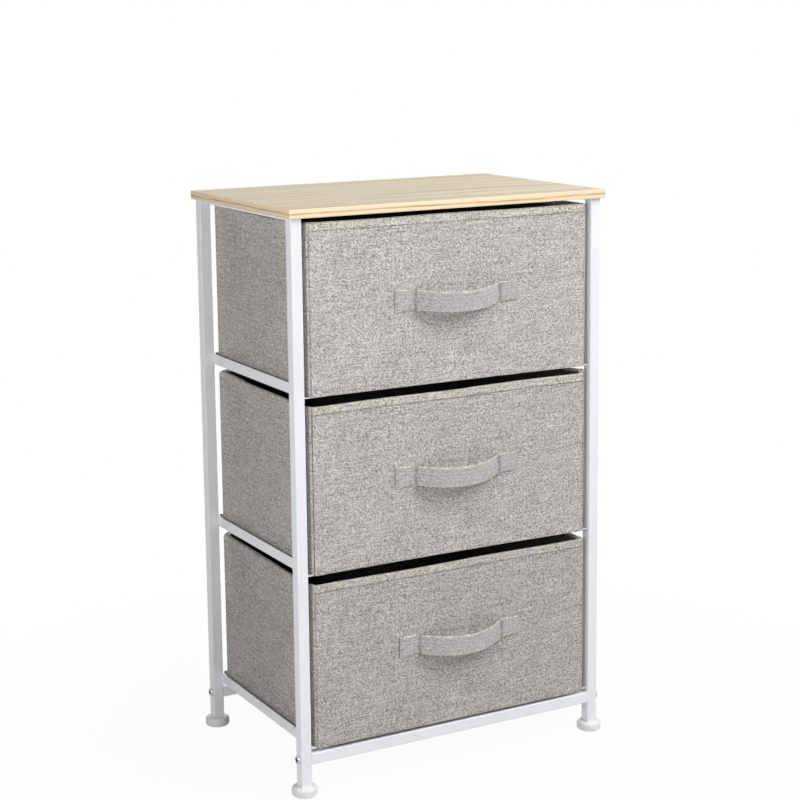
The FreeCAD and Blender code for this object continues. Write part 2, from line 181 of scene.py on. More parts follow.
def surface(
    name: str,
    points: Array,
    closed: bool = False,
    flip: bool = False,
    uv: Array | None = None,
    marks: dict[Mark, Array] | None = None,
) -> Item:
    """Makes a mesh object of quads from a grid of points.

    Args:
        name: The object's name.
        points: Rows by columns by 3.
        closed: Joins the last column to the first.
        flip: Turns the faces over.
        uv: Rows by columns by 2, with one more column where the grid is closed.
        marks: Values from 0 to 1 at the points, rows by columns.

    Returns:
        The new object.
    """
    rows, columns = points.shape[:2]
    across = columns if closed else columns - 1
    steps = QUAD[::-1] if flip else QUAD
    mesh = bpy.data.meshes.new(name)
    faces = quad_corners(rows, across, columns, steps)
    mesh.from_pydata(points.reshape(-1, 3).tolist(), [], faces.tolist())
    if uv is not None:
        corners = quad_corners(rows, across, uv.shape[1], steps).reshape(-1)
        layer = mesh.uv_layers.new(name="cloth")
        layer.data.foreach_set("uv", uv.reshape(-1, 2)[corners].astype(np.float32).reshape(-1))
    for mark, values in (marks or {}).items():
        spread = np.broadcast_to(values, (rows, columns)).astype(np.float32)
        mesh.attributes.new(mark.value, "FLOAT", "POINT").data.foreach_set("value", spread.reshape(-1))
    return shown(name, mesh)


def shown(name: str, mesh: bpy.types.Mesh) -> Item:
    """Shades a mesh smooth and shows it.

    Args:
        name: The object's name.
        mesh: Its mesh.

    Returns:
        The new object, linked into the scene.
    """
    mesh.polygons.foreach_set("use_smooth", np.ones(len(mesh.polygons), dtype=bool))
    mesh.update()
    item = bpy.data.objects.new(name, mesh)
    bpy.context.scene.collection.objects.link(item)
    return item


def fuse(name: str, *items: Item) -> Item:
    """Joins surfaces and merges their coinciding points, which closes seams and poles.

    Args:
        name: The new object's name.
        items: The surfaces, which are used up.

    Returns:
        The new object.
    """
    whole = bmesh.new()
    for item in items:
        whole.from_mesh(item.data)
        bpy.data.meshes.remove(item.data)
    bmesh.ops.remove_doubles(whole, verts=whole.verts, dist=MERGE_DISTANCE)
    mesh = bpy.data.meshes.new(name)
    whole.to_mesh(mesh)
    whole.free()
    return shown(name, mesh)


def thicken(item: Item, thickness: float) -> None:
    """Gives a sheet its thickness, behind its faces.

    Args:
        item: The sheet.
        thickness: The cloth's thickness.
    """
    wall = item.modifiers.new("cloth", "SOLIDIFY")
    wall.thickness = thickness
    wall.offset = -1.0


def stitches(name: str, middles: Array, along: Array, outward: Array, length: float, radius: float) -> Item:
    """Makes one mesh of many short thread stitches.

    Each stitch is a spindle: at station w from -1 to 1 its radius is radius * sqrt(1 - w^4), and its middle
    stands half a radius further out than its ends.

    Args:
        name: The object's name.
        middles: N by 3, the stitches' middles on the cloth.
        along: N by 3, the sewing direction.
        outward: N by 3, the cloth's outward normal.
        length: A stitch's length.
        radius: The thread's radius.

    Returns:
        The new object.
    """
    station = SPINDLE[:, None, None, None]
    turn = np.linspace(0, FULL_TURN, SPINDLE_SIDES, endpoint=False)[:, None, None]
    girth = radius * np.sqrt(np.maximum(1 - station**4, SPINDLE_TIP))
    forward = unit(along)
    up = unit(outward)
    ring = np.cos(turn) * np.cross(forward, up) + np.sin(turn) * up
    arch = (1 - station**2) * up * radius * SPINDLE_ARCH
    points = np.moveaxis(middles + station * forward * length / 2 + arch + girth * ring, 2, 0)
    count, rows, columns = points.shape[:3]
    offsets = np.arange(count)[:, None, None] * rows * columns
    tube = quad_corners(rows, columns, columns, (QUAD[0], QUAD[3], QUAD[2], QUAD[1]))
    ends = np.arange(columns)
    caps = np.stack([ends, ends[::-1] + (rows - 1) * columns])
    faces = (tube + offsets).reshape(-1, 4).tolist() + (caps + offsets).reshape(-1, columns).tolist()
    mesh = bpy.data.meshes.new(name)
    mesh.from_pydata(points.reshape(-1, 3).tolist(), [], faces)
    return shown(name, mesh)


# Shader nodes


@dataclass
class NodeCanvas:
    """Adds and joins nodes in one material's or group's tree."""

    tree: Tree

    def add(self, kind: str, *values: Feed, **settings: object) -> Node:
        """Adds a shader node.

        Args:
            kind: The node's kind, without the prefix that all share.
            values: What its first inputs get, in order.
            settings: Its properties by name.

        Returns:
            The node.
        """
        node = self.tree.nodes.new("ShaderNode" + kind)
        for name, value in settings.items():
            setattr(node, name, value)
        for socket, value in zip(node.inputs, values):
            self.feed(socket, value)
        return node

    def find(self, kind: str) -> Node:
        """Gives the tree's first node of a kind."""
        return next(node for node in self.tree.nodes if node.type == kind)

    def feed(self, socket: Socket, value: Feed) -> None:
        """Links a socket to another, or sets its own value.

        Args:
            socket: The input.
            value: An output, or a plain value.
        """
        if isinstance(value, Socket):
            self.tree.links.new(value, socket)
        else:
            socket.default_value = value

    def fill(self, node: Node, **values: Feed) -> Node:
        """Feeds a node's inputs by name.

        Args:
            node: The node.
            values: What each input gets, with spaces in its name written as underscores.

        Returns:
            The same node.
        """
        for name, value in values.items():
            self.feed(node.inputs[name.replace("_", " ")], value)
        return node

    def math(self, operation: str, *values: Feed) -> Socket:
        """Adds a Math node fed in order."""
        return self.add("Math", *values, operation=operation).outputs[0]

    def vector_math(self, operation: str, *values: Feed) -> Socket:
        """Adds a Vector Math node fed in order."""
        return self.add("VectorMath", *values, operation=operation).outputs[0]

    def split(self, vector: Feed) -> Sequence[Socket]:
        """Gives a vector's three parts."""
        return self.add("SeparateXYZ", vector).outputs

    def join(self, *parts: Feed) -> Socket:
        """Makes a vector of its first parts, with 0 for the rest."""
        return self.add("CombineXYZ", *parts).outputs[0]

    def noise(self, vector: Feed, scale: float, detail: float = 2.0, rough: float = 0.5) -> Socket:
        """Adds a Noise Texture and gives its factor."""
        node = self.add("TexNoise")
        return self.fill(node, Vector=vector, Scale=scale, Detail=detail, Roughness=rough).outputs["Fac"]

    def streaks(self, vector: Feed, scales: Triple, detail: float = 2.0, rough: float = 0.5) -> Socket:
        """Adds noise with a scale of its own along each axis."""
        return self.noise(self.vector_math("MULTIPLY", vector, scales), 1.0, detail, rough)

    def dice(self, *parts: Feed) -> Socket:
        """Gives one random value for each pair of numbers."""
        return self.add("TexWhiteNoise", self.join(*parts), noise_dimensions="2D").outputs["Value"]

    def span(self, value: Feed, low: float, high: float, to_low: float = 0.0, to_high: float = 1.0) -> Socket:
        """Adds a clamped Map Range node."""
        return self.add("MapRange", value, low, high, to_low, to_high).outputs[0]

    def ramp(self, value: Feed, stops: Sequence[tuple[float, Triple]]) -> Socket:
        """Adds a Color Ramp.

        Args:
            value: The place on the ramp.
            stops: Places and their colours.

        Returns:
            The colour.
        """
        node = self.add("ValToRGB", value)
        elements = node.color_ramp.elements
        while len(elements) < len(stops):
            elements.new(0.5)
        for element, (place, colour) in zip(elements, stops):
            element.position = place
            element.color = (*colour, 1.0)
        return node.outputs["Color"]

    def mix(self, share: Feed, first: Feed, second: Feed, blend: str = "MIX") -> Socket:
        """Adds a colour Mix node.

        Args:
            share: How far the second colour counts.
            first: The first colour, as an output or three parts.
            second: The second colour, in the same way.
            blend: The node's blend type.

        Returns:
            The mixed colour.
        """
        node = self.add("Mix", share, data_type="RGBA", blend_type=blend)
        colours = [socket for socket in node.inputs if socket.type == "RGBA"]
        for socket, value in zip(colours, (first, second)):
            self.feed(socket, (*value, 1.0) if isinstance(value, tuple) else value)
        return next(socket for socket in node.outputs if socket.type == "RGBA")

    def group(self, tree: Tree, **values: Feed) -> Sequence[Socket]:
        """Places a node group, feeds its inputs by name and gives its outputs."""
        return self.fill(self.add("Group", node_tree=tree), **values).outputs

    def bump(self, height: Feed, relief: float) -> Socket:
        """Gives the normal that a height makes, with its depth in metres."""
        return self.fill(self.add("Bump"), Strength=1.0, Distance=relief, Height=height).outputs["Normal"]

    def object_place(self) -> Socket:
        """Gives the place on the object, in metres."""
        return self.add("TexCoord").outputs["Object"]


def new_group(
    name: str, values: dict[str, float], outputs: Sequence[str]
) -> tuple[Tree, NodeCanvas, Sequence[Socket], Node]:
    """Starts a node group that reads a vector.

    Args:
        name: The group's name.
        values: Its value inputs and their defaults.
        outputs: The names of its value outputs.

    Returns:
        The tree, its canvas, what its inputs give, and its output node.
    """
    tree = bpy.data.node_groups.new(name, "ShaderNodeTree")
    tree.interface.new_socket("Vector", in_out="INPUT", socket_type="NodeSocketVector")
    for label, start in values.items():
        socket = tree.interface.new_socket(label, in_out="INPUT", socket_type="NodeSocketFloat")
        socket.default_value = start
    for label in outputs:
        tree.interface.new_socket(label, in_out="OUTPUT", socket_type="NodeSocketFloat")
    given = tree.nodes.new("NodeGroupInput").outputs
    return tree, NodeCanvas(tree), given, tree.nodes.new("NodeGroupOutput")


WEFT_SEED = 0.5
WARP_SEED = 4000.5


@functools.lru_cache(maxsize=None)
def weave_group() -> Tree:
    """Builds the plain weave that all cloths share.

    The vector is divided into cells of one thread pitch. Each thread is a parabola across its cell, and warp
    and weft pass over each other in turn. Turn is 1 where the warp is on top, Fleck is one random tone a
    crossing, and Weft and Warp are one random tone for each stretch of a thread.

    Returns:
        The node group.
    """
    outputs = ("Height", "Turn", "Fleck", "Weft", "Warp")
    tree, canvas, given, result = new_group("plain_weave", {"Pitch": 0.001, "Stretch": 0.012}, outputs)
    along, upward, _ = canvas.split(given["Vector"])
    across_cells = canvas.math("DIVIDE", along, given["Pitch"])
    upward_cells = canvas.math("DIVIDE", upward, given["Pitch"])
    column = canvas.math("FLOOR", across_cells)
    row = canvas.math("FLOOR", upward_cells)

    def hump(cells: Socket) -> Socket:
        """Gives the parabola across one cell: 4 f (1 - f)."""
        part = canvas.math("FRACT", cells)
        return canvas.math("MULTIPLY", canvas.math("MULTIPLY", part, canvas.math("SUBTRACT", 1.0, part)), 4.0)

    def thread(line: Socket, distance: Socket, seed: float) -> Socket:
        """Gives each stretch of each thread its own random tone.

        Args:
            line: The thread's number.
            distance: The distance along it.
            seed: Keeps warp and weft apart.

        Returns:
            The tone.
        """
        number = canvas.math("ADD", line, seed)
        start = canvas.fill(canvas.add("TexWhiteNoise", noise_dimensions="1D"), W=number).outputs["Value"]
        stretches = canvas.math("DIVIDE", distance, given["Stretch"])
        return canvas.dice(canvas.math("FLOOR", canvas.math("ADD", stretches, start)), number)

    turn = canvas.math("PINGPONG", canvas.math("ADD", column, row), 1.0)
    warp_height = canvas.math("MULTIPLY", hump(across_cells), turn)
    weft_height = canvas.math("MULTIPLY", hump(upward_cells), canvas.math("SUBTRACT", 1.0, turn))
    canvas.fill(
        result,
        Height=canvas.math("ADD", warp_height, weft_height),
        Turn=turn,
        Fleck=canvas.dice(column, row),
        Weft=thread(row, along, WEFT_SEED),
        Warp=thread(column, upward, WARP_SEED),
    )
    return tree


GRAIN_BEND = (3.0, 9.0, 9.0)
GRAIN_BEND_REACH = 0.12
GRAIN_FLAMES = (1.6, 95.0, 95.0)
GRAIN_STREAKS = (9.0, 620.0, 620.0)
GRAIN_PORES = (70.0, 1500.0, 1500.0)
PORE_PEAKS = (0.62, 0.72)
GRAIN_ROUGH = 0.6
PEEL_DRIFT_SCALE = 14.0


@functools.lru_cache(maxsize=None)
def grain_group() -> Tree:
    """Builds the oak figure that the board and its edge band share.

    Noise stretched along the first axis bends a second noise into long flames, fine streaks lie over it, and
    pores are the sparse peaks of a finer stretched noise.

    Returns:
        The node group.
    """
    tree, canvas, given, result = new_group("oak_grain", {"Figure": 0.5}, ("Tone", "Streak", "Pore"))
    bend = canvas.streaks(given["Vector"], GRAIN_BEND, 3.0)
    lift = canvas.math("MULTIPLY", bend, canvas.math("MULTIPLY", given["Figure"], GRAIN_BEND_REACH))
    bent = canvas.vector_math("ADD", given["Vector"], canvas.join(0.0, lift))
    canvas.fill(
        result,
        Tone=canvas.streaks(bent, GRAIN_FLAMES, 4.0, GRAIN_ROUGH),
        Streak=canvas.streaks(bent, GRAIN_STREAKS, 3.0, GRAIN_ROUGH),
        Pore=canvas.span(canvas.streaks(bent, GRAIN_PORES, 1.0), *PORE_PEAKS),
    )
    return tree


@functools.lru_cache(maxsize=None)
def peel_group() -> Tree:
    """Builds the faint unevenness that coated and moulded surfaces share.

    Height is fine noise at the given grain size, and Drift is slow noise for colour and gloss.

    Returns:
        The node group.
    """
    tree, canvas, given, result = new_group("surface_peel", {"Grain": 0.001}, ("Height", "Drift"))
    cells = canvas.vector_math("DIVIDE", given["Vector"], given["Grain"])
    drift = canvas.noise(given["Vector"], PEEL_DRIFT_SCALE, 3.0)
    canvas.fill(result, Height=canvas.noise(cells, 1.0), Drift=drift)
    return tree


def start_material(name: str) -> tuple[Material, NodeCanvas, Node]:
    """Starts a material.

    Args:
        name: The material's name.

    Returns:
        The material, its canvas and its Principled node.
    """
    material = bpy.data.materials.new(name)
    material.use_nodes = True
    canvas = NodeCanvas(material.node_tree)
    return material, canvas, canvas.find("BSDF_PRINCIPLED")


# Finishes


@dataclass(frozen=True)
class ClothFinish:
    """A woven cloth with random dark flecks, longer slubs and a slow drift of tone.

    The shares weigh the weave's tones, and the rest goes to its flecks. A piece's band mark tints it: lighter
    on a hem, and brighter on a strap's edges and ends as a painted highlight.
    Its other mark darkens it by that mark's share, as painted shading in sewn creases and strap folds, or
    lightens it where the share is below 0, as on the lining's seams.
    """

    name: str
    pitch: float
    stretch: float
    stops: tuple[tuple[float, Triple], ...]
    turn_share: float
    weft_share: float
    warp_share: float
    drift_tint: Triple
    relief: float
    roughness: float
    sheen: float
    crease: float
    band: Triple = (1.0, 1.0, 1.0)
    # Scales the colour stops: painted shading that darkens a lower drawer's cloth, where light falls off.
    painted_light_falloff: float = 1.0
    rib_share: float = 0.0
    rib_pitch: float = 4.5 * MM
    drift_scale: float = 16.0
    drift_range: Pair = (0.35, 0.7)
    drift_share: float = 0.6
    wander_scale: float = 55.0
    wander: float = 1.6 * MM
    fuzz_scale: float = 900.0
    fuzz_share: float = 0.5
    specular: float = 0.2

    @functools.lru_cache(maxsize=None)
    def material(self) -> Material:
        """Builds the cloth's material on the piece's own map, in metres of cloth.

        Returns:
            The material.
        """
        material, canvas, shader = start_material(self.name)
        place = self.wandering_place(canvas)
        weave = canvas.group(weave_group(), Vector=place, Pitch=self.pitch, Stretch=self.stretch)
        # The stops are scaled by the painted shading for the drawer's height.
        stops = [(at, tuple(self.painted_light_falloff * part for part in tint)) for at, tint in self.stops]
        colour = canvas.ramp(self.tone(canvas, place, weave), stops)
        drift = canvas.noise(place, self.drift_scale, 3.0)
        share = canvas.span(drift, *self.drift_range, 0.0, self.drift_share)
        colour = canvas.mix(share, colour, self.drift_tint, "MULTIPLY")
        # Band lightens a hem and paints a highlight on a strap's edges and ends. The other mark paints
        # shading into sewn creases and folds, or lightens the lining's seams.
        for mark, tint in ((Mark.BAND, self.band), (Mark.CREASE, (1.0 - self.crease,) * 3)):
            amount = canvas.add("Attribute", attribute_name=mark.value).outputs["Fac"]
            colour = canvas.mix(amount, colour, canvas.mix(1.0, colour, tint, "MULTIPLY"))
        fuzz = canvas.math("MULTIPLY", canvas.noise(place, self.fuzz_scale), self.fuzz_share)
        canvas.fill(
            shader,
            Base_Color=colour,
            Roughness=self.roughness,
            Sheen_Weight=self.sheen,
            Specular_IOR_Level=self.specular,
            Normal=canvas.bump(canvas.math("ADD", weave["Height"], fuzz), self.relief),
        )
        return material

    def wandering_place(self, canvas: NodeCanvas) -> Socket:
        """Gives the place on the cloth, moved a little by slow noise so that threads wander.

        Args:
            canvas: The material's canvas.

        Returns:
            The place.
        """
        place = canvas.add("UVMap", uv_map="cloth").outputs[0]
        drift = canvas.fill(canvas.add("TexNoise"), Vector=place, Scale=self.wander_scale).outputs["Color"]
        offset = canvas.vector_math("MULTIPLY", drift, (self.wander, self.wander, 0.0))
        return canvas.vector_math("ADD", place, offset)

    def tone(self, canvas: NodeCanvas, place: Socket, weave: Sequence[Socket]) -> Socket:
        """Gives the weave's tone, from 0 to 1: its parts added up by their shares, and the ribs' sine.

        Args:
            canvas: The material's canvas.
            place: The place on the cloth.
            weave: The weave's outputs.

        Returns:
            The tone.
        """
        shares = {"Turn": self.turn_share, "Weft": self.weft_share, "Warp": self.warp_share}
        tone = canvas.math("MULTIPLY", weave["Fleck"], 1.0 - sum(shares.values()))
        for part, share in shares.items():
            tone = canvas.math("MULTIPLY_ADD", weave[part], share, tone)
        if self.rib_share:
            turns = canvas.math("MULTIPLY", canvas.split(place)[1], FULL_TURN / self.rib_pitch)
            tone = canvas.math("MULTIPLY_ADD", canvas.math("SINE", turns), self.rib_share, tone)
        return tone


@dataclass(frozen=True)
class PeelFinish:
    """A coated or moulded surface with a fine peel and slow drifts of tone and gloss."""

    name: str
    light: Triple
    dark: Triple
    grain: float
    relief: float
    roughness: Pair
    metallic: float = 0.0
    coat: float = 0.0
    coat_roughness: float = 0.15
    drift_range: Pair = (0.3, 0.7)

    @functools.lru_cache(maxsize=None)
    def material(self) -> Material:
        """Builds the finish on the object's own place.

        Returns:
            The material.
        """
        material, canvas, shader = start_material(self.name)
        place = canvas.object_place()
        peel = canvas.group(peel_group(), Vector=place, Grain=self.grain)
        colour = canvas.mix(canvas.span(peel["Drift"], *self.drift_range), self.light, self.dark)
        canvas.fill(
            shader,
            Base_Color=self.with_painted_shading(canvas, place, colour),
            Roughness=canvas.span(peel["Drift"], *self.drift_range, *self.roughness),
            Metallic=self.metallic,
            Coat_Weight=self.coat,
            Coat_Roughness=self.coat_roughness,
            Normal=canvas.bump(peel["Height"], self.relief),
        )
        return material

    def with_painted_shading(self, canvas: NodeCanvas, place: Socket, colour: Socket) -> Socket:
        """Gives the colour with the finish's painted shading, of which a plain surface has none."""
        return colour


@dataclass(frozen=True)
class BoltFinish(PeelFinish):
    """Plate on the rail's bolts, whose heads lie about axes along X, with painted shading in each head's
    cross recess.
    """

    middle_y: float = 7.625 * MM
    reach_y: float = 134.75 * MM
    level: float = 46.75 * MM
    recess: float = 3.6 * MM
    recess_edge: float = 0.3 * MM
    arm: float = 1.1 * MM
    arm_edge: float = 0.2 * MM
    # Painted shading for the recess.
    painted_recess_shading: Triple = (0.012, 0.013, 0.015)

    def with_painted_shading(self, canvas: NodeCanvas, place: Socket, colour: Socket) -> Socket:
        """Darkens two crossed arms about each bolt's axis, as painted shading in its cross recess.

        Args:
            canvas: The material's canvas.
            place: The place on the object.
            colour: The plate's colour.

        Returns:
            The colour with the painted recess shading.
        """
        _, y, z = canvas.split(place)
        along = canvas.math("ABSOLUTE", canvas.math("SUBTRACT", y, self.middle_y))
        across = canvas.math("ABSOLUTE", canvas.math("SUBTRACT", along, self.reach_y))
        upward = canvas.math("ABSOLUTE", canvas.math("SUBTRACT", z, self.level))
        least = canvas.math("MINIMUM", across, upward)
        most = canvas.math("MAXIMUM", across, upward)
        slim = canvas.span(least, self.arm, self.arm + self.arm_edge, 1.0, 0.0)
        near = canvas.span(most, self.recess, self.recess + self.recess_edge, 1.0, 0.0)
        return canvas.mix(canvas.math("MULTIPLY", slim, near), colour, self.painted_recess_shading)


@dataclass(frozen=True)
class OakFinish:
    """A matt oak-look laminate with its grain along X."""

    name: str
    pale: Triple
    mid: Triple
    deep: Triple
    figure: float
    stops: Triple = (0.3, 0.5, 0.68)
    streak_range: Pair = (0.35, 0.65)
    streak_share: float = 0.3
    pore_share: float = 0.45
    tone_range: Pair = (0.3, 0.7)
    roughness: Pair = (0.58, 0.5)
    relief: float = 0.05 * MM

    @functools.lru_cache(maxsize=None)
    def material(self) -> Material:
        """Builds the laminate on the object's own place.

        Returns:
            The material.
        """
        material, canvas, shader = start_material(self.name)
        place = self.grain_place(canvas)
        grain = canvas.group(grain_group(), Vector=place, Figure=self.figure)
        colour = canvas.ramp(grain["Tone"], list(zip(self.stops, (self.deep, self.mid, self.pale))))
        streak = canvas.span(grain["Streak"], *self.streak_range, 0.0, self.streak_share)
        colour = self.lined(canvas, place, canvas.mix(streak, colour, self.pale))
        pores = canvas.math("MULTIPLY", grain["Pore"], self.pore_share)
        dents = canvas.math("SUBTRACT", grain["Streak"], grain["Pore"])
        canvas.fill(
            shader,
            Base_Color=canvas.mix(pores, colour, self.deep),
            Roughness=canvas.span(grain["Tone"], *self.tone_range, *self.roughness),
            Normal=canvas.bump(dents, self.relief),
        )
        return material

    def grain_place(self, canvas: NodeCanvas) -> Socket:
        """Gives the place that the grain follows."""
        return canvas.object_place()

    def lined(self, canvas: NodeCanvas, place: Socket, colour: Socket) -> Socket:
        """Gives the colour with the finish's own lines, of which the board has none."""
        return colour


@dataclass(frozen=True)
class BandFinish(OakFinish):
    """The laminate on the board's edges, with its grain along them and a dark line at mid height."""

    line: Triple = (0.36, 0.185, 0.07)
    middle_height: float = 724.3 * MM
    half_line: float = 1.6 * MM
    sway: float = 6.0 * MM
    sway_scale: Triple = (7.0, 0.0, 0.0)
    fade_scale: Triple = (16.0, 0.0, 0.0)
    fade_range: Pair = (0.3, 0.6)
    fade: Pair = (0.25, 0.85)

    def grain_place(self, canvas: NodeCanvas) -> Socket:
        """Gives the place along the edges, x - y, and the height."""
        x, y, z = canvas.split(canvas.object_place())
        return canvas.join(canvas.math("SUBTRACT", x, y), z)

    def lined(self, canvas: NodeCanvas, place: Socket, colour: Socket) -> Socket:
        """Darkens a line that sways about the band's middle and fades in and out along it.

        Args:
            canvas: The material's canvas.
            place: The place along the edges.
            colour: The laminate's colour.

        Returns:
            The colour with the line.
        """
        sway = canvas.math("SUBTRACT", canvas.streaks(place, self.sway_scale, 3.0), 0.5)
        level = canvas.math("SUBTRACT", canvas.split(place)[1], self.middle_height)
        level = canvas.math("ADD", level, canvas.math("MULTIPLY", sway, self.sway))
        near = canvas.span(canvas.math("ABSOLUTE", level), 0.0, self.half_line, 1.0, 0.0)
        fade = canvas.span(canvas.streaks(place, self.fade_scale), *self.fade_range, *self.fade)
        return canvas.mix(canvas.math("MULTIPLY", near, fade), colour, self.line)


LINEN = ClothFinish(
    name="heathered_linen",
    pitch=0.68 * MM,
    stretch=22.0 * MM,
    stops=(
        (0.14, (0.084, 0.08, 0.076)),
        (0.35, (0.311, 0.295, 0.281)),
        (0.535, (0.619, 0.588, 0.561)),
        (0.76, (0.90, 0.856, 0.818)),
    ),
    turn_share=0.08,
    weft_share=0.16,
    warp_share=0.07,
    drift_tint=(0.90, 0.885, 0.86),
    relief=0.05 * MM,
    roughness=0.92,
    sheen=0.06,
    # Darkens the sewn creases as painted shading.
    crease=0.85,
    band=(1.1, 1.1, 1.07),
)
STRAP = ClothFinish(
    name="strap_weave",
    pitch=1.1 * MM,
    stretch=12.0 * MM,
    stops=((0.12, (0.31, 0.296, 0.293)), (0.5, (0.52, 0.498, 0.494)), (0.88, (0.74, 0.71, 0.706))),
    turn_share=0.15,
    weft_share=0.1,
    warp_share=0.1,
    rib_share=0.06,
    drift_tint=(0.92, 0.91, 0.91),
    relief=0.14 * MM,
    roughness=0.88,
    sheen=0.08,
    # Darkens the strap beside its folds as painted shading, and brightens its edges and ends as a painted
    # highlight.
    crease=0.32,
    band=(1.34, 1.34, 1.34),
)
LINING = ClothFinish(
    name="black_lining",
    pitch=1.6 * MM,
    stretch=10.0 * MM,
    stops=((0.1, (0.075, 0.0705, 0.061)), (0.9, (0.15, 0.141, 0.123))),
    turn_share=0.2,
    weft_share=0.15,
    warp_share=0.1,
    drift_tint=(0.8, 0.8, 0.8),
    relief=0.2 * MM,
    roughness=0.95,
    sheen=0.02,
    crease=-0.8,
)
POWDER = PeelFinish(
    name="powder_coat",
    light=(0.885, 0.897, 0.925),
    dark=(0.858, 0.87, 0.902),
    grain=1.1 * MM,
    relief=0.04 * MM,
    roughness=(0.34, 0.44),
    coat=0.5,
)
PLASTIC = PeelFinish(
    name="moulded_plastic",
    light=(0.88, 0.88, 0.88),
    dark=(0.83, 0.83, 0.835),
    grain=0.7 * MM,
    relief=0.03 * MM,
    roughness=(0.42, 0.52),
)
ZINC = PeelFinish(
    name="zinc_plate",
    light=(0.40, 0.42, 0.44),
    dark=(0.27, 0.29, 0.32),
    grain=0.5 * MM,
    relief=0.02 * MM,
    roughness=(0.22, 0.34),
    metallic=1.0,
)
BOLTS = BoltFinish(
    name="bolt_plate",
    light=(0.52, 0.54, 0.56),
    dark=(0.38, 0.40, 0.43),
    grain=0.5 * MM,
    relief=0.02 * MM,
    roughness=(0.2, 0.3),
    metallic=1.0,
)
FIBRE = PeelFinish(
    name="fibre_board",
    light=(0.40, 0.31, 0.22),
    dark=(0.33, 0.25, 0.18),
    grain=0.6 * MM,
    relief=0.05 * MM,
    roughness=(0.8, 0.9),
)
BASE_CLOTH = PeelFinish(
    name="base_cloth",
    light=(0.028, 0.027, 0.024),
    dark=(0.016, 0.0155, 0.014),
    grain=1.2 * MM,
    relief=0.2 * MM,
    roughness=(0.9, 0.97),
)
THREAD = PeelFinish(
    name="sewing_thread",
    light=(0.27, 0.258, 0.243),
    dark=(0.19, 0.182, 0.17),
    grain=0.3 * MM,
    relief=0.05 * MM,
    roughness=(0.75, 0.85),
)
BOARD = OakFinish("oak_board", (0.83, 0.75, 0.57), (0.74, 0.65, 0.47), (0.52, 0.405, 0.26), figure=0.5)
BAND = BandFinish("oak_band", (0.99, 0.84, 0.60), (0.97, 0.78, 0.52), (0.78, 0.57, 0.33), figure=0.04)
FINISHES = {
    Slot.POWDER: POWDER,
    Slot.BOARD: BOARD,
    Slot.BAND: BAND,
    Slot.LINEN: LINEN,
    Slot.STRAP: STRAP,
    Slot.LINING: LINING,
    Slot.FIBRE: FIBRE,
    Slot.ZINC: ZINC,
    Slot.PLASTIC: PLASTIC,
}


def dress(item: Item, material: Material) -> None:
    """Gives an object one material all over.

    Args:
        item: The object.
        material: Its material.
    """
    item.data.materials.clear()
    item.data.materials.append(material)
    places = np.zeros(len(item.data.polygons), dtype=np.int32)
    item.data.polygons.foreach_set("material_index", places)


def dress_nodes() -> None:
    """Gives each node the finish of its slot, by the record's own table, and the rail's bolts their own."""
    for row in frame["record"]["subparts"]:
        dress(frame["nodes"][row["node"]], FINISHES[Slot(row["material_slot"])].material())
        LOG.info("dressed %s", row["node"])
    dress(frame["nodes"]["rail_bolts"], BOLTS.material())


# Cloth drawers

RIPPLES = ((171.0 * MM, 0.9, 1.0), (83.0 * MM, -1.7, 2.3))
RIM_PHASE = 1.7
INNER_STEPS = 5
RIM_STEPS = 13
HEM_STEPS = 17
WALL_STEPS = 22
FOLD_STEPS = 6
FLAT_STEPS = 4
LINING_STEPS = 18
LINING_FOLD_STEPS = 5
LOOP_STEPS = 60
TAB_STEPS = 14
TAB_STITCHES = 8
NEARLY_SQUARE = 0.99
SQUARE = 0.999
STRAP_SECTION = np.array([-1, -0.96, -0.9, -0.8, -0.5, 0, 0.5, 0.8, 0.9, 0.96, 1])
STRAP_POWER = 14
STRAP_EDGE = 0.9
STRAP_EDGE_WIDTH = 0.06
STRAP_EDGE_BULGE = 0.12


@dataclass(frozen=True)
class RoundedRing:
    """Stations round a rectangle with rounded corners, from the middle of the rear, by way of the left side.

    A station has a place c on the rectangle of corner centres, from -1 to 1 each way, and a unit normal n.
    With half sizes h and corner radius r, its point is c * (h - r) + r * n. Stations crowd to the corners.
    """

    steps_wide: int = 72
    steps_deep: int = 64
    steps_corner: int = 12

    def steps(self) -> tuple[Array, Array]:
        """Spaces the stations along the sides: -cos of even angles from 0 to half a turn.

        Returns:
            The places along a wide and along a deep side, from -1 to 1.
        """
        counts = (self.steps_wide, self.steps_deep)
        wide, deep = (-np.cos(np.linspace(0, math.pi, count + 1)) for count in counts)
        return wide, deep

    def stations(self) -> tuple[Array, Array]:
        """Lists the stations, side by side and corner by corner.

        Returns:
            The stations' places and normals, each N by 2.
        """
        wide, deep = self.steps()
        half = self.steps_wide // 2
        bend = np.linspace(0, QUARTER_TURN, self.steps_corner + 1)[1:-1]

        def run(x: Array | float, y: Array | float, turns: float, extra: Array | float = 0.0) -> Array:
            """Stacks places and normal angles, which are quarter turns and an extra angle."""
            return np.stack(np.broadcast_arrays(x, y, turns * QUARTER_TURN + extra), axis=-1)

        parts = [
            run(wide[::-1][half:], 1.0, 1),
            run(-1.0, 1.0, 1, bend),
            run(-1.0, deep[::-1], 2),
            run(-1.0, -1.0, 2, bend),
            run(wide, -1.0, 3),
            run(1.0, -1.0, 3, bend),
            run(1.0, deep, 4),
            run(1.0, 1.0, 0, bend),
            run(wide[::-1][:half], 1.0, 1),
        ]
        table = np.concatenate(parts)
        return table[:, :2], np.stack([np.cos(table[:, 2]), np.sin(table[:, 2])], axis=-1)


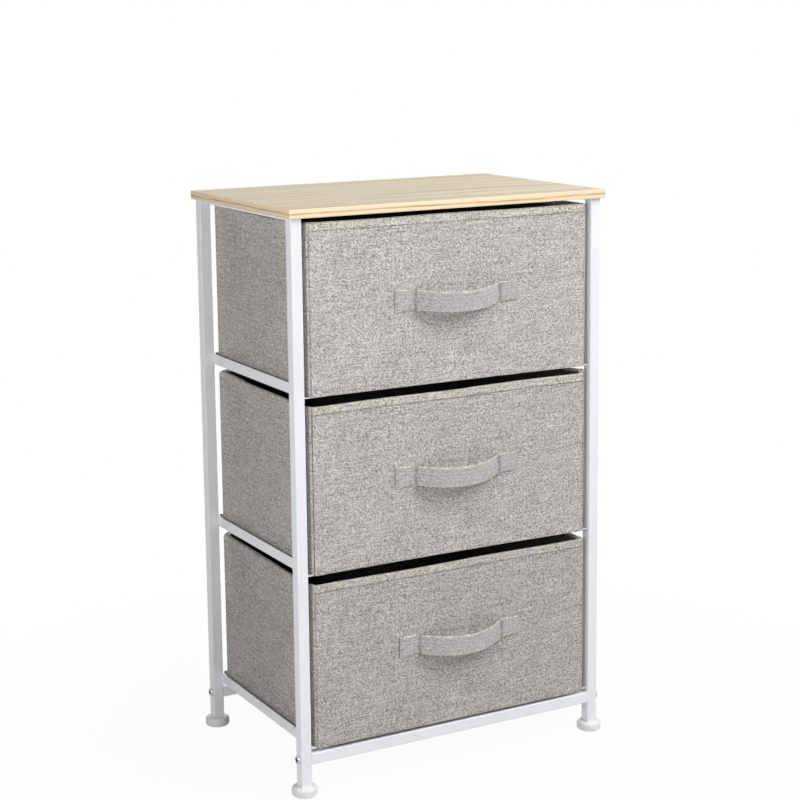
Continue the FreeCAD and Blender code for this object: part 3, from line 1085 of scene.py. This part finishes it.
@dataclass(frozen=True)
class Rim:
    """How far a drawer's cloth rim stands above its packed cover.

    Besides the four corners it has the step in front where the hem's ends meet, the sag of the left wall with
    the share of the way from the rear at which it starts, and the right wall's peak at its front end.
    """

    front_left: float
    front_right: float
    rear_left: float
    rear_right: float
    step: float
    left_sag: float
    left_sag_from: float
    right_peak: float
    step_at: float = 24.0 * MM
    step_length: float = 5.0 * MM
    step_fade: float = 60.0 * MM
    sag_start: float = 0.2
    sag_end: float = 0.1
    peak_fade: float = 30.0 * MM
    wave: float = 0.35 * MM
    wave_length: float = 210.0 * MM

    def rise(self, place: Array, normal: Array, half: Array, girth: Array, phase: float) -> Array:
        """Gives the rise at each station.

        The corners' rises are blended by place, and a slow wave runs round. Where the hem's ends meet in
        front, the rise steps up as tanh of the distance and dies away exponentially. The left wall's sag
        starts and ends in smooth steps, and the right wall's peak dies away exponentially behind the front
        corner.

        Args:
            place: The stations' places, N by 2.
            normal: Their normals, N by 2.
            half: The drawer's half width and half depth.
            girth: The distance round the drawer at each station.
            phase: The slow wave's start.

        Returns:
            The rise at each station.
        """
        right, rear = (1 + place.T) / 2
        front_side = self.front_left * (1 - right) + self.front_right * right
        rear_side = self.rear_left * (1 - right) + self.rear_right * right
        blend = front_side * (1 - rear) + rear_side * rear
        past = place[:, 0] * half[0] - self.step_at
        step = self.step * np.tanh(past / self.step_length) * np.exp(-np.abs(past) / self.step_fade)
        sag = self.left_sag * clamped(-normal[:, 0]) ** 2
        sag = sag * smooth((1 - rear - self.left_sag_from) / self.sag_start) * smooth(rear / self.sag_end)
        peak = self.right_peak * clamped(normal[:, 0]) ** 2 * np.exp(-rear * 2 * half[1] / self.peak_fade)
        wave = self.wave * np.sin(FULL_TURN * girth / self.wave_length + phase)
        return blend + step * (1 - rear) ** 3 - sag + peak + wave


@dataclass
class ClothDrawer:
    """One drawer: cover, lining, sewing and strap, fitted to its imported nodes."""

    level: Level
    rim: Rim
    phase: float
    strap_shift: float
    strap_lift: float
    sag_left: float
    sag_right: float
    sag_arch: float
    # These weigh each sewn groove's depth and the painted shading put into it.
    hem_mark: float
    seam_mark: float
    # Scales the cloth's colour: painted shading that darkens the lower drawers, where light falls off.
    painted_light_falloff: float
    inner_hem: float
    corner: float = 3.0 * MM
    tight_corner: float = 0.9 * MM
    wall: float = 5.3 * MM
    rim_square: float = 0.6
    rise_from: float = 0.7
    rear_round: float = 7.0 * MM
    rear_drop: float = 3.6 * MM
    rear_steep: float = 0.98
    hem: float = 9.0 * MM
    hem_step: float = 0.35 * MM
    hem_slope: float = 0.35 * MM
    hem_facing: Pair = (0.3, 0.4)
    hem_reach: float = 3.0 * MM
    hem_groove: float = 0.7 * MM
    bottom_fold: float = 2.0 * MM
    turn_under: float = 7.0 * MM
    plain_margin: float = 8.0 * MM
    cloth: float = 0.85 * MM
    skin_depth: float = 1.0 * MM
    puff: float = 0.9 * MM
    ripple: float = 0.22 * MM
    groove: float = 0.6 * MM
    seam_inset: float = 3.0 * MM
    seam_turn: float = 1.15
    seam_spread: float = 0.22
    sag_height: float = 0.25
    sag_facing: float = 0.6
    lip: float = 1.8 * MM
    lining_inset: float = 4.25 * MM
    lining_fold: float = 3.0 * MM
    lining_drop: float = 3.0 * MM
    lining_floor: float = 0.9 * MM
    lining_cloth: float = 0.7 * MM
    lining_lean: float = 0.35 * MM
    lining_wave: float = 120.0 * MM
    lining_bend: float = 7.0
    lining_seam: float = 1.2 * MM
    stitch_pitch: float = 3.6 * MM
    stitch_length: float = 2.7 * MM
    stitch_start: float = 5.0 * MM
    stitch_ahead: float = 1.0 * MM
    thread: float = 0.3 * MM
    ring: RoundedRing = RoundedRing()

    def __post_init__(self) -> None:
        """Reads the drawer's place from its packed cover."""
        low, high = (np.array(corner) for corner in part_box(self.named("cover")))
        self.middle = (low + high) / 2
        self.half = (high - low)[:2] / 2
        self.bottom = float(low[2])
        self.height = float(high[2] - low[2])
        self.place, self.normal = self.ring.stations()
        outer = self.place * (self.half - self.corner) + self.corner * self.normal
        self.girth = distances(np.vstack([outer, outer[:1]]))

    def named(self, part: str) -> str:
        """Gives the name of one of the drawer's pieces or nodes."""
        return f"{self.level.value}_{part}"

    def along_side(self, place: Array, normal: Array) -> tuple[Array, Array]:
        """Gives each station's place along its own side from -1 to 1, and that side's half length."""
        on_wide = np.abs(normal[:, 1]) >= np.abs(normal[:, 0])
        return np.where(on_wide, place[:, 0], place[:, 1]), np.where(on_wide, self.half[0], self.half[1])

    def ring_points(self, place: Array, normal: Array, inset: Array, radius: Array) -> list[Array]:
        """Gives the ring's x and y at an inset and a corner radius, about the drawer's middle."""
        return [place[:, i] * (self.half[i] - inset - radius) + radius * normal[:, i] for i in range(2)]

    def placed(self, x: Array, y: Array, z: Array) -> Array:
        """Moves points from about the drawer's middle and bottom to their place in the model."""
        moved = np.broadcast_arrays(x + self.middle[0], y + self.middle[1], z + self.bottom)
        return np.stack(moved, axis=-1)

    def rim_rise(self, place: Array, normal: Array, girth: Array) -> Array:
        """Gives the rim's rise at each station."""
        return self.rim.rise(place, normal, self.half, girth, RIM_PHASE * self.phase)

    def lift(self, level: Array) -> Array:
        """Gives the share of the rim's rise at a height: a square that starts part of the way up."""
        return clamped((level / self.height - self.rise_from) / (1 - self.rise_from)) ** 2

    def skin(self, place: Array, normal: Array, girth: Array, inset: Array, level: Array) -> Array:
        """Gives points of the cover.

        A point is the ring's at its inset, pushed out by the panel's puff, two crossing ripples and the
        doubled hem, and in by the sewn groove under the hem and on each corner. The rim rises as its own
        function says and is rounded off at the rear corners, and the front's lower edge hangs a little.

        Args:
            place: Stations' places, N by 2.
            normal: Stations' normals, N by 2.
            girth: Distance round the drawer at each station.
            inset: Distance in from the outer face, broadcast with the stations.
            level: Height above the drawer's bottom, broadcast with the stations.

        Returns:
            The points in the model's frame.
        """
        x, y = self.ring_points(place, normal, inset, np.maximum(self.corner - inset, self.tight_corner))
        side, half = self.along_side(place, normal)
        part = clamped(level / self.height)
        swell = self.puff * (1 - side**4) * np.sin(math.pi * part) ** 0.8
        waves = 0.0
        for length, slope, share in RIPPLES:
            waves = waves + np.sin(FULL_TURN * (girth / length + part * slope) + share * self.phase)
        swell = swell + self.ripple * (1 + 0.5 * waves) * (1 - side**6)
        push = swell + self.hem_step * self.hem_band(normal, level) - self.groove * self.sewn(normal, level)
        push = push * clamped(1 - inset / self.skin_depth)
        short = clamped(1 - (1 - np.abs(side)) * half / self.rear_round) * (place[:, 1] > 0.5)
        drop = self.rear_drop * (1 - np.sqrt(1 - short**2 * self.rear_steep))
        rise = (self.rim_rise(place, normal, girth) - drop) * self.lift(level)
        right = (1 + place[:, 0]) / 2
        hung = self.sag_left * (1 - right) + self.sag_right * right
        hung = (hung - self.sag_arch * 4 * right * (1 - right)) * smooth(-normal[:, 1] / self.sag_facing)
        hung = hung * clamped(1 - inset / self.lip) * clamped(1 - part / self.sag_height) ** 2
        return self.placed(x + push * normal[:, 0], y + push * normal[:, 1], level + rise - hung)

    def hem_band(self, normal: Array, level: Array) -> Array:
        """Gives 1 above the hem's stitches in front and behind and 0 elsewhere, with a short slope."""
        facing = clamped((np.abs(normal[:, 1]) - self.hem_facing[0]) / self.hem_facing[1])
        return facing / (1 + np.exp((self.height - level - self.hem) / self.hem_slope))

    def sewn(self, normal: Array, level: Array) -> Array:
        """Gives how far a point lies in a sewn groove, from 0 to 1.

        It is a bell of the distance to the stitches under the hem, and of the normal's angle on a corner.

        Args:
            normal: Stations' normals, N by 2.
            level: Height above the drawer's bottom, broadcast with the stations.

        Returns:
            The greater of the two.
        """
        under_hem = bell(self.height - level - self.hem, self.hem_groove) * (np.abs(normal[:, 1]) > 0.5)
        turned = np.arctan2(np.abs(normal[:, 1]), np.abs(normal[:, 0]))
        on_bend = bell(turned - self.seam_turn, self.seam_spread)
        return np.maximum(self.hem_mark * under_hem, self.seam_mark * on_bend)

    def cover_profile(self) -> tuple[Array, Array]:
        """Lists the cover's section: the inner hem, over the rim, down the outside and under the bottom.

        The rim is half a squared oval, whose cosine and sine are raised to a power below 1.

        Returns:
            Insets and heights.
        """
        half = self.wall / 2
        fold = self.bottom_fold
        turn = np.linspace(0, math.pi, RIM_STEPS)
        bend = np.linspace(0, QUARTER_TURN, FOLD_STEPS)
        inner = np.linspace(self.height - self.inner_hem, self.height - half, INNER_STEPS)[:-1]
        over_inset = half + half * np.sign(np.cos(turn)) * np.abs(np.cos(turn)) ** self.rim_square
        over_level = self.height - half + half * np.abs(np.sin(turn)) ** self.rim_square
        stitched = self.height - self.hem
        near_hem = stitched + np.linspace(self.hem_reach, -self.hem_reach, HEM_STEPS)
        below = np.linspace(stitched - self.plain_margin, self.plain_margin, WALL_STEPS)
        outside = np.concatenate([near_hem, below])
        flat = np.linspace(fold, self.turn_under, FLAT_STEPS)[1:]
        inset = [np.full_like(inner, self.wall), over_inset, 0 * outside, fold - fold * np.cos(bend), flat]
        level = [inner, over_level, outside, fold - fold * np.sin(bend), 0 * flat]
        return np.concatenate(inset), np.concatenate(level)

    def build_cover(self) -> None:
        """Builds the outer cloth as one sheet with its thickness."""
        inset, level = self.cover_profile()
        points = self.skin(self.place, self.normal, self.girth[:-1], inset[:, None], level[:, None])
        run = distances(np.stack([inset, level], axis=-1))
        # The sewn grooves are also darkened in the cloth's colour as painted shading, and the hem band is
        # lightened.
        marks = {
            Mark.CREASE: self.sewn(self.normal, level[:, None]) * (inset < self.skin_depth)[:, None],
            Mark.BAND: self.hem_band(self.normal, level[:, None]),
        }
        uv = np.stack(np.meshgrid(self.girth, -run), axis=-1)
        item = surface(self.named("cloth_cover"), points, closed=True, flip=True, uv=uv, marks=marks)
        thicken(item, self.cloth)
        # Each drawer gets its own copy of the linen, darker lower down, as painted shading.
        finish = replace(LINEN, name=f"{LINEN.name}_{self.level.name.lower()}", painted_light_falloff=self.painted_light_falloff)
        dress(item, finish.material())
        self.settle(item, Slot.LINEN, self.named("cover"))

    def build_lining(self) -> None:
        """Builds the inner cloth: four walls, whose ring goes down and round a small fold, and a flat floor.

        The floor's grid has the ring's own places along its sides, so that the two close when they are fused.
        """
        fold = self.lining_fold
        bend = np.linspace(0, QUARTER_TURN, LINING_FOLD_STEPS)
        down = np.linspace(self.height - self.lining_drop, fold + self.lining_floor, LINING_STEPS)[:-1]
        turned_in = self.lining_inset + fold - fold * np.cos(bend)
        inset = np.concatenate([np.full_like(down, self.lining_inset), turned_in])[:, None]
        level = np.concatenate([down, self.lining_floor + fold - fold * np.sin(bend)])[:, None]
        radius = np.full_like(inset, self.tight_corner)
        radius[-1] = 0.0
        x, y = self.ring_points(self.place, self.normal, inset, radius)
        wave = np.sin(FULL_TURN * self.girth[:-1] / self.lining_wave + self.phase)
        wave = wave * np.sin(self.lining_bend * level / self.height)
        lean = self.lining_lean * (wave - 1) * np.sin(math.pi * clamped(level / self.height))
        lean[-1] = 0.0
        rise = self.rim_rise(self.place, self.normal, self.girth[:-1]) * self.lift(level)
        points = self.placed(x + lean * self.normal[:, 0], y + lean * self.normal[:, 1], level + rise)
        run = summed(np.linalg.norm(np.diff(points, axis=0), axis=-1).max(axis=1))
        side, half = self.along_side(self.place, self.normal)
        marks = {Mark.CREASE: bell((1 - np.abs(side)) * half, self.lining_seam)[None, :]}
        uv = np.stack(np.meshgrid(self.girth, -run), axis=-1)
        walls = surface("walls", points, closed=True, uv=uv, marks=marks)
        reach = self.half - inset[-1]
        sides = [steps * size for steps, size in zip(self.ring.steps(), reach)]
        plan = np.stack(np.meshgrid(*sides), axis=-1)
        flat = np.full(plan.shape[:2] + (1,), points[-1, 0, 2])
        plain = {Mark.CREASE: np.zeros((1, 1))}
        floor = surface("floor", np.concatenate([plan + self.middle[:2], flat], -1), uv=plan, marks=plain)
        item = fuse(self.named("cloth_lining"), walls, floor)
        thicken(item, self.lining_cloth)
        dress(item, LINING.material())
        self.settle(item, Slot.LINING, self.named("lining"))

    def settle(self, item: Item, slot: Slot, *nodes: str) -> None:
        """Rides a piece on the drawer, hides the nodes that it stands for and reports it.

        Args:
            item: The piece.
            slot: Its material slot, which is not used.
            nodes: The nodes that it stands for.
        """
        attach(item, self.level.value)
        if nodes:
            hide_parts(*nodes)
        LOG.info("built %s", item.name)

    def on_cover(self, girth: Array, level: Array) -> tuple[Array, Array]:
        """Finds points on the cover's outside by distance round the drawer and height.

        Args:
            girth: The distances, N values.
            level: The heights above the drawer's bottom, N values.

        Returns:
            The points and their outward normals, each N by 3.
        """
        table = np.hstack([self.place, self.normal])
        table = np.vstack([table, table[:1]])
        found = np.stack([np.interp(girth, self.girth, column) for column in table.T], axis=-1)
        normal = unit(found[:, 2:])
        points = self.skin(found[:, :2], normal, girth, np.zeros(len(girth)), level)
        return points, np.pad(normal, ((0, 0), (0, 1)))

    def build_stitches(self) -> None:
        """Builds the sewing under the hem, in front and behind, and beside each corner."""
        count = int(self.girth[-1] / self.stitch_pitch)
        girth = (np.arange(count) + 0.5) * self.girth[-1] / count
        level = np.full(count, self.height - self.hem)
        middles, outward = self.on_cover(girth, level)
        ahead, _ = self.on_cover(girth + self.stitch_ahead, level)
        facing = np.abs(outward[:, 1]) > NEARLY_SQUARE
        hem = [table[facing] for table in (middles, ahead - middles, outward)]
        rows = int((self.height - self.hem - self.plain_margin) / self.stitch_pitch)
        heights = self.stitch_start + (np.arange(rows) + 0.5) * self.stitch_pitch
        corners = self.corner_girths()
        middles, outward = self.on_cover(np.repeat(corners, rows), np.tile(heights, len(corners)))
        seams = [middles, np.tile(UPWARD, (len(middles), 1)), outward]
        parts = [np.concatenate(pair) for pair in zip(hem, seams)]
        item = stitches(self.named("cover_stitches"), *parts, self.stitch_length, self.thread)
        dress(item, THREAD.material())
        self.settle(item, Slot.LINEN)

    def corner_girths(self) -> Array:
        """Finds the seams beside the drawer's corners, on the side panels.

        Returns:
            Their four distances round the drawer.
        """
        side, half = self.along_side(self.place, self.normal)
        on_deep = np.abs(self.normal[:, 0]) > SQUARE
        gap = np.abs((1 - np.abs(side)) * half - self.seam_inset)
        picks = []
        for left in (-1, 1):
            for end in (-1, 1):
                mine = on_deep & (np.sign(self.normal[:, 0]) == left) & (np.sign(side) == end)
                picks.append(self.girth[:-1][np.where(mine, gap, np.inf).argmin()])
        return np.array(picks)

    def build(self) -> None:
        """Builds the whole drawer."""
        self.build_cover()
        self.build_lining()
        self.build_stitches()
        StrapHandle(self).build()


@dataclass
class StrapHandle:
    """A webbing strap sewn at both ends, with a loose loop that bows forward and droops."""

    drawer: ClothDrawer
    tab: float = 27.0 * MM
    reach: float = 23.0 * MM
    bow_power: float = 1.1
    droop: float = 4.0 * MM
    roll: float = 0.09
    thickness: float = 1.5 * MM
    tab_extra: float = 0.7 * MM
    tab_blend: float = 1.5 * MM
    tab_margin: float = 3.0 * MM
    fold_inside: float = 4.0 * MM
    fold_outside: float = 2.6 * MM
    loop_margin: float = 5.0 * MM
    flare: float = 0.16
    sway: float = 0.012
    sway_rate: float = 210.0
    pinch: float = 0.35 * MM
    pinch_at: float = 0.99
    pinch_width: float = 1.1 * MM
    end_round: float = 0.8 * MM
    end_least: float = 0.02
    # The next five set the painted highlight at the strap's ends, the painted shading beside each fold and
    # the painted highlight along its edges.
    tip: float = 0.9 * MM
    crease_at: float = 1.6 * MM
    crease_width: float = 2.0 * MM
    edge_highlight_from: float = 0.85
    edge_highlight_blend: float = 0.06
    stitch_pitch: float = 2.9 * MM
    stitch_length: float = 2.3 * MM
    stitch_edge: float = 2.0 * MM
    stitch_fold: float = 2.2 * MM
    stitch_end: float = 2.4 * MM
    thread: float = 0.27 * MM

    def __post_init__(self) -> None:
        """Reads the strap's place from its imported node."""
        low, high = (np.array(corner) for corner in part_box(self.drawer.named("handle")))
        self.middle_x = float(low[0] + high[0]) / 2 + self.drawer.strap_shift
        self.half = float(high[0] - low[0]) / 2
        self.fold = self.half - self.tab
        self.back = float(high[1])
        self.middle_z = float(low[2] + high[2]) / 2 + self.drawer.strap_lift
        self.half_width = float(high[2] - low[2]) / 2

    def bow(self, x: Array) -> Array:
        """Gives the loop's share of its full reach: 1 - (x / fold)^2 to a power, and 0 outside the folds."""
        return clamped(1 - (x / self.fold) ** 2) ** self.bow_power

    def centre(self, x: Array) -> Array:
        """Gives the strap's middle line: on the cloth at the tabs, forward and down at the loop.

        Args:
            x: Places along the strap, from its middle.

        Returns:
            The line's points, N by 3.
        """
        bow = self.bow(x)
        pinch = self.pinch * bell(np.abs(x) - self.fold * self.pinch_at, self.pinch_width)
        y = self.back - self.puff(x) - self.tab_thickness() / 2 - self.reach * bow + pinch
        return np.stack([x + self.middle_x, y, self.middle_z - self.droop * bow], axis=-1)

    def tab_thickness(self) -> float:
        """Gives the doubled strap's thickness at a tab."""
        return self.thickness + self.tab_extra

    def puff(self, x: Array) -> Array:
        """Gives how far the cover's front panel stands out behind the strap.

        Args:
            x: Places along the strap, from its middle.

        Returns:
            The distances.
        """
        drawer = self.drawer
        side = np.clip((x + self.middle_x - drawer.middle[0]) / (drawer.half[0] - drawer.corner), -1, 1)
        place = np.stack([side, -np.ones_like(side)], axis=-1)
        normal = np.tile(FORWARD[:2], (len(side), 1))
        girth = drawer.half[0] + 2 * drawer.half[1] + (1 + side) * drawer.half[0]
        level = np.full(len(side), self.middle_z - drawer.bottom)
        return self.back - drawer.skin(place, normal, girth, np.zeros(len(side)), level)[:, 1]

    def stations(self) -> Array:
        """Spaces the stations along the strap, which crowd at its folds.

        Returns:
            Their places from the strap's middle.
        """
        loop_end = self.fold - self.loop_margin
        loop = np.linspace(-loop_end, loop_end, LOOP_STEPS)
        near_fold = np.linspace(self.fold - self.fold_inside, self.fold + self.fold_outside, TAB_STEPS)
        tab = np.linspace(self.fold + self.tab_margin, self.half, TAB_STEPS)
        return np.concatenate([-tab[::-1], -near_fold[::-1], loop, near_fold, tab])

    def section(self) -> tuple[Array, Array]:
        """Lists the strap's section: at place s across, sqrt(1 - s^14) with a low bell beside each edge.

        Returns:
            Places across from -1 to 1, and places outward from -1/2 to 1/2, once round.
        """
        flat = STRAP_SECTION
        bulge = STRAP_EDGE_BULGE * bell(np.abs(flat) - STRAP_EDGE, STRAP_EDGE_WIDTH)
        rise = np.sqrt(1 - np.abs(flat) ** STRAP_POWER) * (1 + bulge)
        return np.concatenate([flat, flat[::-1][1:-1]]), np.concatenate([rise, -rise[::-1][1:-1]]) * 0.5

    def build(self) -> None:
        """Builds the strap as a rounded flat section carried along its middle line, and its sewing."""
        x = self.stations()
        line = self.centre(x)
        tangent = unit(np.gradient(line, axis=0))
        across = unit(UPWARD - unit(np.cross(tangent, UPWARD)) * self.roll * self.bow(x)[:, None])
        outward = unit(np.cross(tangent, across))
        end = clamped((self.half - np.abs(x)) / self.end_round)
        thick = self.thickness + self.tab_extra * clamped((np.abs(x) - self.fold) / self.tab_blend)
        thick = thick * np.sqrt(np.maximum(1 - (1 - end) ** 2, self.end_least))
        wide = 1 + self.sway * np.sin(x * self.sway_rate + self.drawer.phase)
        wide = (wide + self.flare * clamped((-x - self.fold) / self.tab)) * self.half_width
        section_across, section_out = self.section()
        points = line[:, None, :] + section_across[:, None] * (wide[:, None] * across)[:, None, :]
        points = points + section_out[:, None] * (thick[:, None] * outward)[:, None, :]
        shut = line[:, None, :] + 0 * points
        points = np.concatenate([shut[:1], points, shut[-1:]])
        run = capped(distances(line))
        girth = np.concatenate([section_across, section_across[:1]]) * self.half_width
        uv = np.stack(np.meshgrid(girth, run)[::-1], axis=-1)
        ends = np.abs(capped(x))[:, None]
        # Painted highlight along the strap's edges and at its ends, and painted shading just inside each
        # fold.
        edge_highlight = clamped((np.abs(section_across) - self.edge_highlight_from) / self.edge_highlight_blend)[None, :]
        tip_highlight = clamped(1 - (self.half - ends - self.tip) / self.tip)
        fold_shading = bell(ends - self.fold + self.crease_at, self.crease_width)
        marks = {Mark.BAND: np.maximum(edge_highlight, tip_highlight), Mark.CREASE: fold_shading}
        item = fuse(self.drawer.named("strap"), surface("band", points, closed=True, uv=uv, marks=marks))
        dress(item, STRAP.material())
        self.drawer.settle(item, Slot.STRAP, self.drawer.named("handle"))
        self.drawer.named("cloth_cover")
        self.build_stitches()

    def build_stitches(self) -> None:
        """Builds two upright rows of stitches on each tab and one row along each of its edges."""
        tall = self.half_width - self.stitch_edge
        heights = np.linspace(-tall, tall, int(2 * tall / self.stitch_pitch))
        ends = (self.fold + self.stitch_fold, self.half - self.stitch_end)
        between = np.linspace(*ends, TAB_STITCHES)[1:-1]
        rows = []
        for sign in (-1, 1):
            rows += [(np.full_like(heights, sign * place), heights, UPWARD) for place in ends]
            rows += [(sign * between, np.full_like(between, edge), SIDEWAYS) for edge in (-tall, tall)]
        x = np.concatenate([row[0] for row in rows])
        level = np.concatenate([row[1] for row in rows])
        along = np.concatenate([np.tile(row[2], (len(row[0]), 1)) for row in rows])
        middles = self.centre(x)
        middles[:, 1] -= self.tab_thickness() / 2
        middles[:, 2] += level
        outward = np.tile(FORWARD, (len(x), 1))
        name = self.drawer.named("strap_stitches")
        item = stitches(name, middles, along, outward, self.stitch_length, self.thread)
        dress(item, THREAD.material())
        self.drawer.settle(item, Slot.STRAP)


# Studio


@dataclass(frozen=True)
class Lamp:
    """A square soft lamp that faces a target."""

    name: str
    place: Triple
    target: Triple
    power: float
    size: float

    def build(self) -> None:
        """Adds the lamp to the scene."""
        data = bpy.data.lights.new(self.name, "AREA")
        data.energy = self.power
        data.size = self.size
        lamp = bpy.data.objects.new(self.name, data)
        lamp.location = self.place
        facing = Vector(self.target) - Vector(self.place)
        lamp.rotation_euler = facing.to_track_quat("-Z", "Y").to_euler()
        bpy.context.scene.collection.objects.link(lamp)


LAMPS = (
    Lamp("key", (1.25, -1.5, 2.05), (0.0, 0.0, 0.5), power=61.0, size=1.6),
    Lamp("fill", (-1.4, -0.9, 0.75), (0.0, 0.0, 0.4), power=11.5, size=0.5),
    Lamp("overhead", (0.0, 0.3, 2.6), (0.0, 0.0, 0.7), power=7.0, size=1.2),
    Lamp("back", (0.9, 2.1, 0.45), (0.0, 0.0, 0.4), power=14.0, size=0.5),
)


@dataclass
class Studio:
    """The floor, the lamps, the white surroundings and the camera."""

    azimuth: float = -29.001
    elevation: float = 9.844
    roll: float = -0.601
    eye: Triple = (-1.1544, -2.0804, 0.9535)
    focal_pixels: float = 1847.3
    centre_pixels: Pair = (400.0, 335.0)
    clip_start: float = 0.01
    ambient: float = 0.03
    floor_half: float = 9.0
    floor_greys: Pair = (0.62, 0.66)
    floor_drift: float = 3.0
    floor_roughness: float = 0.9
    floor_specular: float = 0.1
    floor_white: float = 0.96
    floor_fade: Pair = (0.28, 0.75)

    def build_camera(self) -> None:
        """Builds the camera at the photograph's place, turned by its own azimuth, elevation and roll."""
        azimuth, elevation, roll = (math.radians(a) for a in (self.azimuth, self.elevation, self.roll))
        level = np.array([math.sin(azimuth), -math.cos(azimuth), 0.0])
        back = level * math.cos(elevation) + np.array(UPWARD) * math.sin(elevation)
        right = unit(np.cross(-back, UPWARD))
        up = np.cross(right, -back)
        turned_right = math.cos(roll) * right + math.sin(roll) * up
        turned_up = -math.sin(roll) * right + math.cos(roll) * up
        data = bpy.data.cameras.new("camera")
        data.sensor_width = SENSOR_MM
        data.lens = self.focal_pixels * SENSOR_MM / IMAGE_PIXELS
        data.shift_x = (IMAGE_PIXELS / 2 - self.centre_pixels[0]) / IMAGE_PIXELS
        data.shift_y = (self.centre_pixels[1] - IMAGE_PIXELS / 2) / IMAGE_PIXELS
        data.clip_start = self.clip_start
        camera = bpy.data.objects.new("camera", data)
        columns = np.stack([turned_right, turned_up, back, np.array(self.eye)], axis=1)
        camera.matrix_world = Matrix([*columns.tolist(), [0.0, 0.0, 0.0, 1.0]])
        bpy.context.scene.collection.objects.link(camera)
        bpy.context.scene.camera = camera

    def background_share(self, canvas: NodeCanvas) -> Socket:
        """Tells the rays that should see the white background from those that carry light.

        Args:
            canvas: The canvas of the world or the floor.

        Returns:
            1 for the first and 0 for the second.
        """
        path = canvas.add("LightPath").outputs
        share = canvas.math("MAXIMUM", path["Is Camera Ray"], path["Is Glossy Ray"])
        return canvas.math("MAXIMUM", share, path["Is Transmission Ray"])

    def build_world(self) -> None:
        """Builds even surroundings that light at a plain level and look white."""
        world = bpy.data.worlds.new("surroundings")
        world.use_nodes = True
        canvas = NodeCanvas(world.node_tree)
        level = canvas.span(self.background_share(canvas), 0.0, 1.0, self.ambient, 1.0)
        canvas.fill(canvas.find("BACKGROUND"), Color=(1.0, 1.0, 1.0, 1.0), Strength=level)
        bpy.context.scene.world = world

    def build_floor(self) -> None:
        """Builds a pale floor that keeps the shadow near the feet and fades to white further out."""
        ends = np.array([-self.floor_half, self.floor_half])
        x, y = np.meshgrid(ends, ends)
        floor = surface("floor", np.stack([x, y, 0 * x], axis=-1))
        material, canvas, shader = start_material("pale_floor")
        place = canvas.object_place()
        dark, light = ((grey, grey, grey) for grey in self.floor_greys)
        canvas.fill(
            shader,
            Base_Color=canvas.mix(canvas.noise(place, self.floor_drift), dark, light),
            Roughness=self.floor_roughness,
            Specular_IOR_Level=self.floor_specular,
        )
        far = canvas.add("VectorMath", place, operation="LENGTH").outputs["Value"]
        fade = canvas.span(far, *self.floor_fade, self.floor_white, 1.0)
        share = canvas.math("MULTIPLY", fade, self.background_share(canvas))
        white = canvas.add("Emission").outputs[0]
        blend = canvas.add("MixShader", share, shader.outputs[0], white)
        canvas.fill(canvas.find("OUTPUT_MATERIAL"), Surface=blend.outputs[0])
        dress(floor, material)

    def build(self) -> None:
        """Builds the whole studio."""
        self.build_camera()
        self.build_world()
        self.build_floor()
        for lamp in LAMPS:
            lamp.build()
        bpy.context.scene.view_settings.view_transform = "Standard"
        LOG.info("built the studio")


# Each drawer's colour factor below is painted shading: darker for the lower drawers.
DRAWERS = (
    ClothDrawer(
        Level.TOP,
        rim=Rim(4.9 * MM, 4.8 * MM, 4.8 * MM, 5.0 * MM, 0.0, 2.8 * MM, 0.0, 0.0),
        phase=0.4,
        strap_shift=0.6 * MM,
        strap_lift=0.0,
        sag_left=2.3 * MM,
        sag_right=3.6 * MM,
        sag_arch=0.6 * MM,
        hem_mark=0.4,
        seam_mark=0.55,
        painted_light_falloff=1.0,
        inner_hem=6.5 * MM,
    ),
    ClothDrawer(
        Level.MIDDLE,
        rim=Rim(3.2 * MM, 4.8 * MM, 4.8 * MM, 6.6 * MM, 0.4 * MM, 2.4 * MM, 0.15, 6.0 * MM),
        phase=1.9,
        strap_shift=-1.0 * MM,
        strap_lift=0.0,
        sag_left=3.2 * MM,
        sag_right=4.2 * MM,
        sag_arch=1.4 * MM,
        hem_mark=0.64,
        seam_mark=0.9,
        painted_light_falloff=0.96,
        inner_hem=2.8 * MM,
    ),
    ClothDrawer(
        Level.BOTTOM,
        rim=Rim(1.5 * MM, 2.5 * MM, 4.4 * MM, 6.2 * MM, 0.2 * MM, 3.0 * MM, -0.1, 2.2 * MM),
        phase=3.1,
        strap_shift=2.5 * MM,
        strap_lift=1.2 * MM,
        sag_left=4.4 * MM,
        sag_right=5.2 * MM,
        sag_arch=0.0,
        hem_mark=0.64,
        seam_mark=0.42,
        painted_light_falloff=0.89,
        inner_hem=2.8 * MM,
    ),
)


def main() -> None:
    """Builds the studio, dresses the rigid nodes, builds the drawers and dresses each drawer's base board."""
    logging.basicConfig(level=logging.INFO, format="%(name)s: %(message)s")
    Studio().build()
    dress_nodes()
    for drawer in DRAWERS:
        drawer.build()
        dress(frame["nodes"][drawer.named("base_board")], BASE_CLOTH.material())


if __name__ == "__main__":
    main()
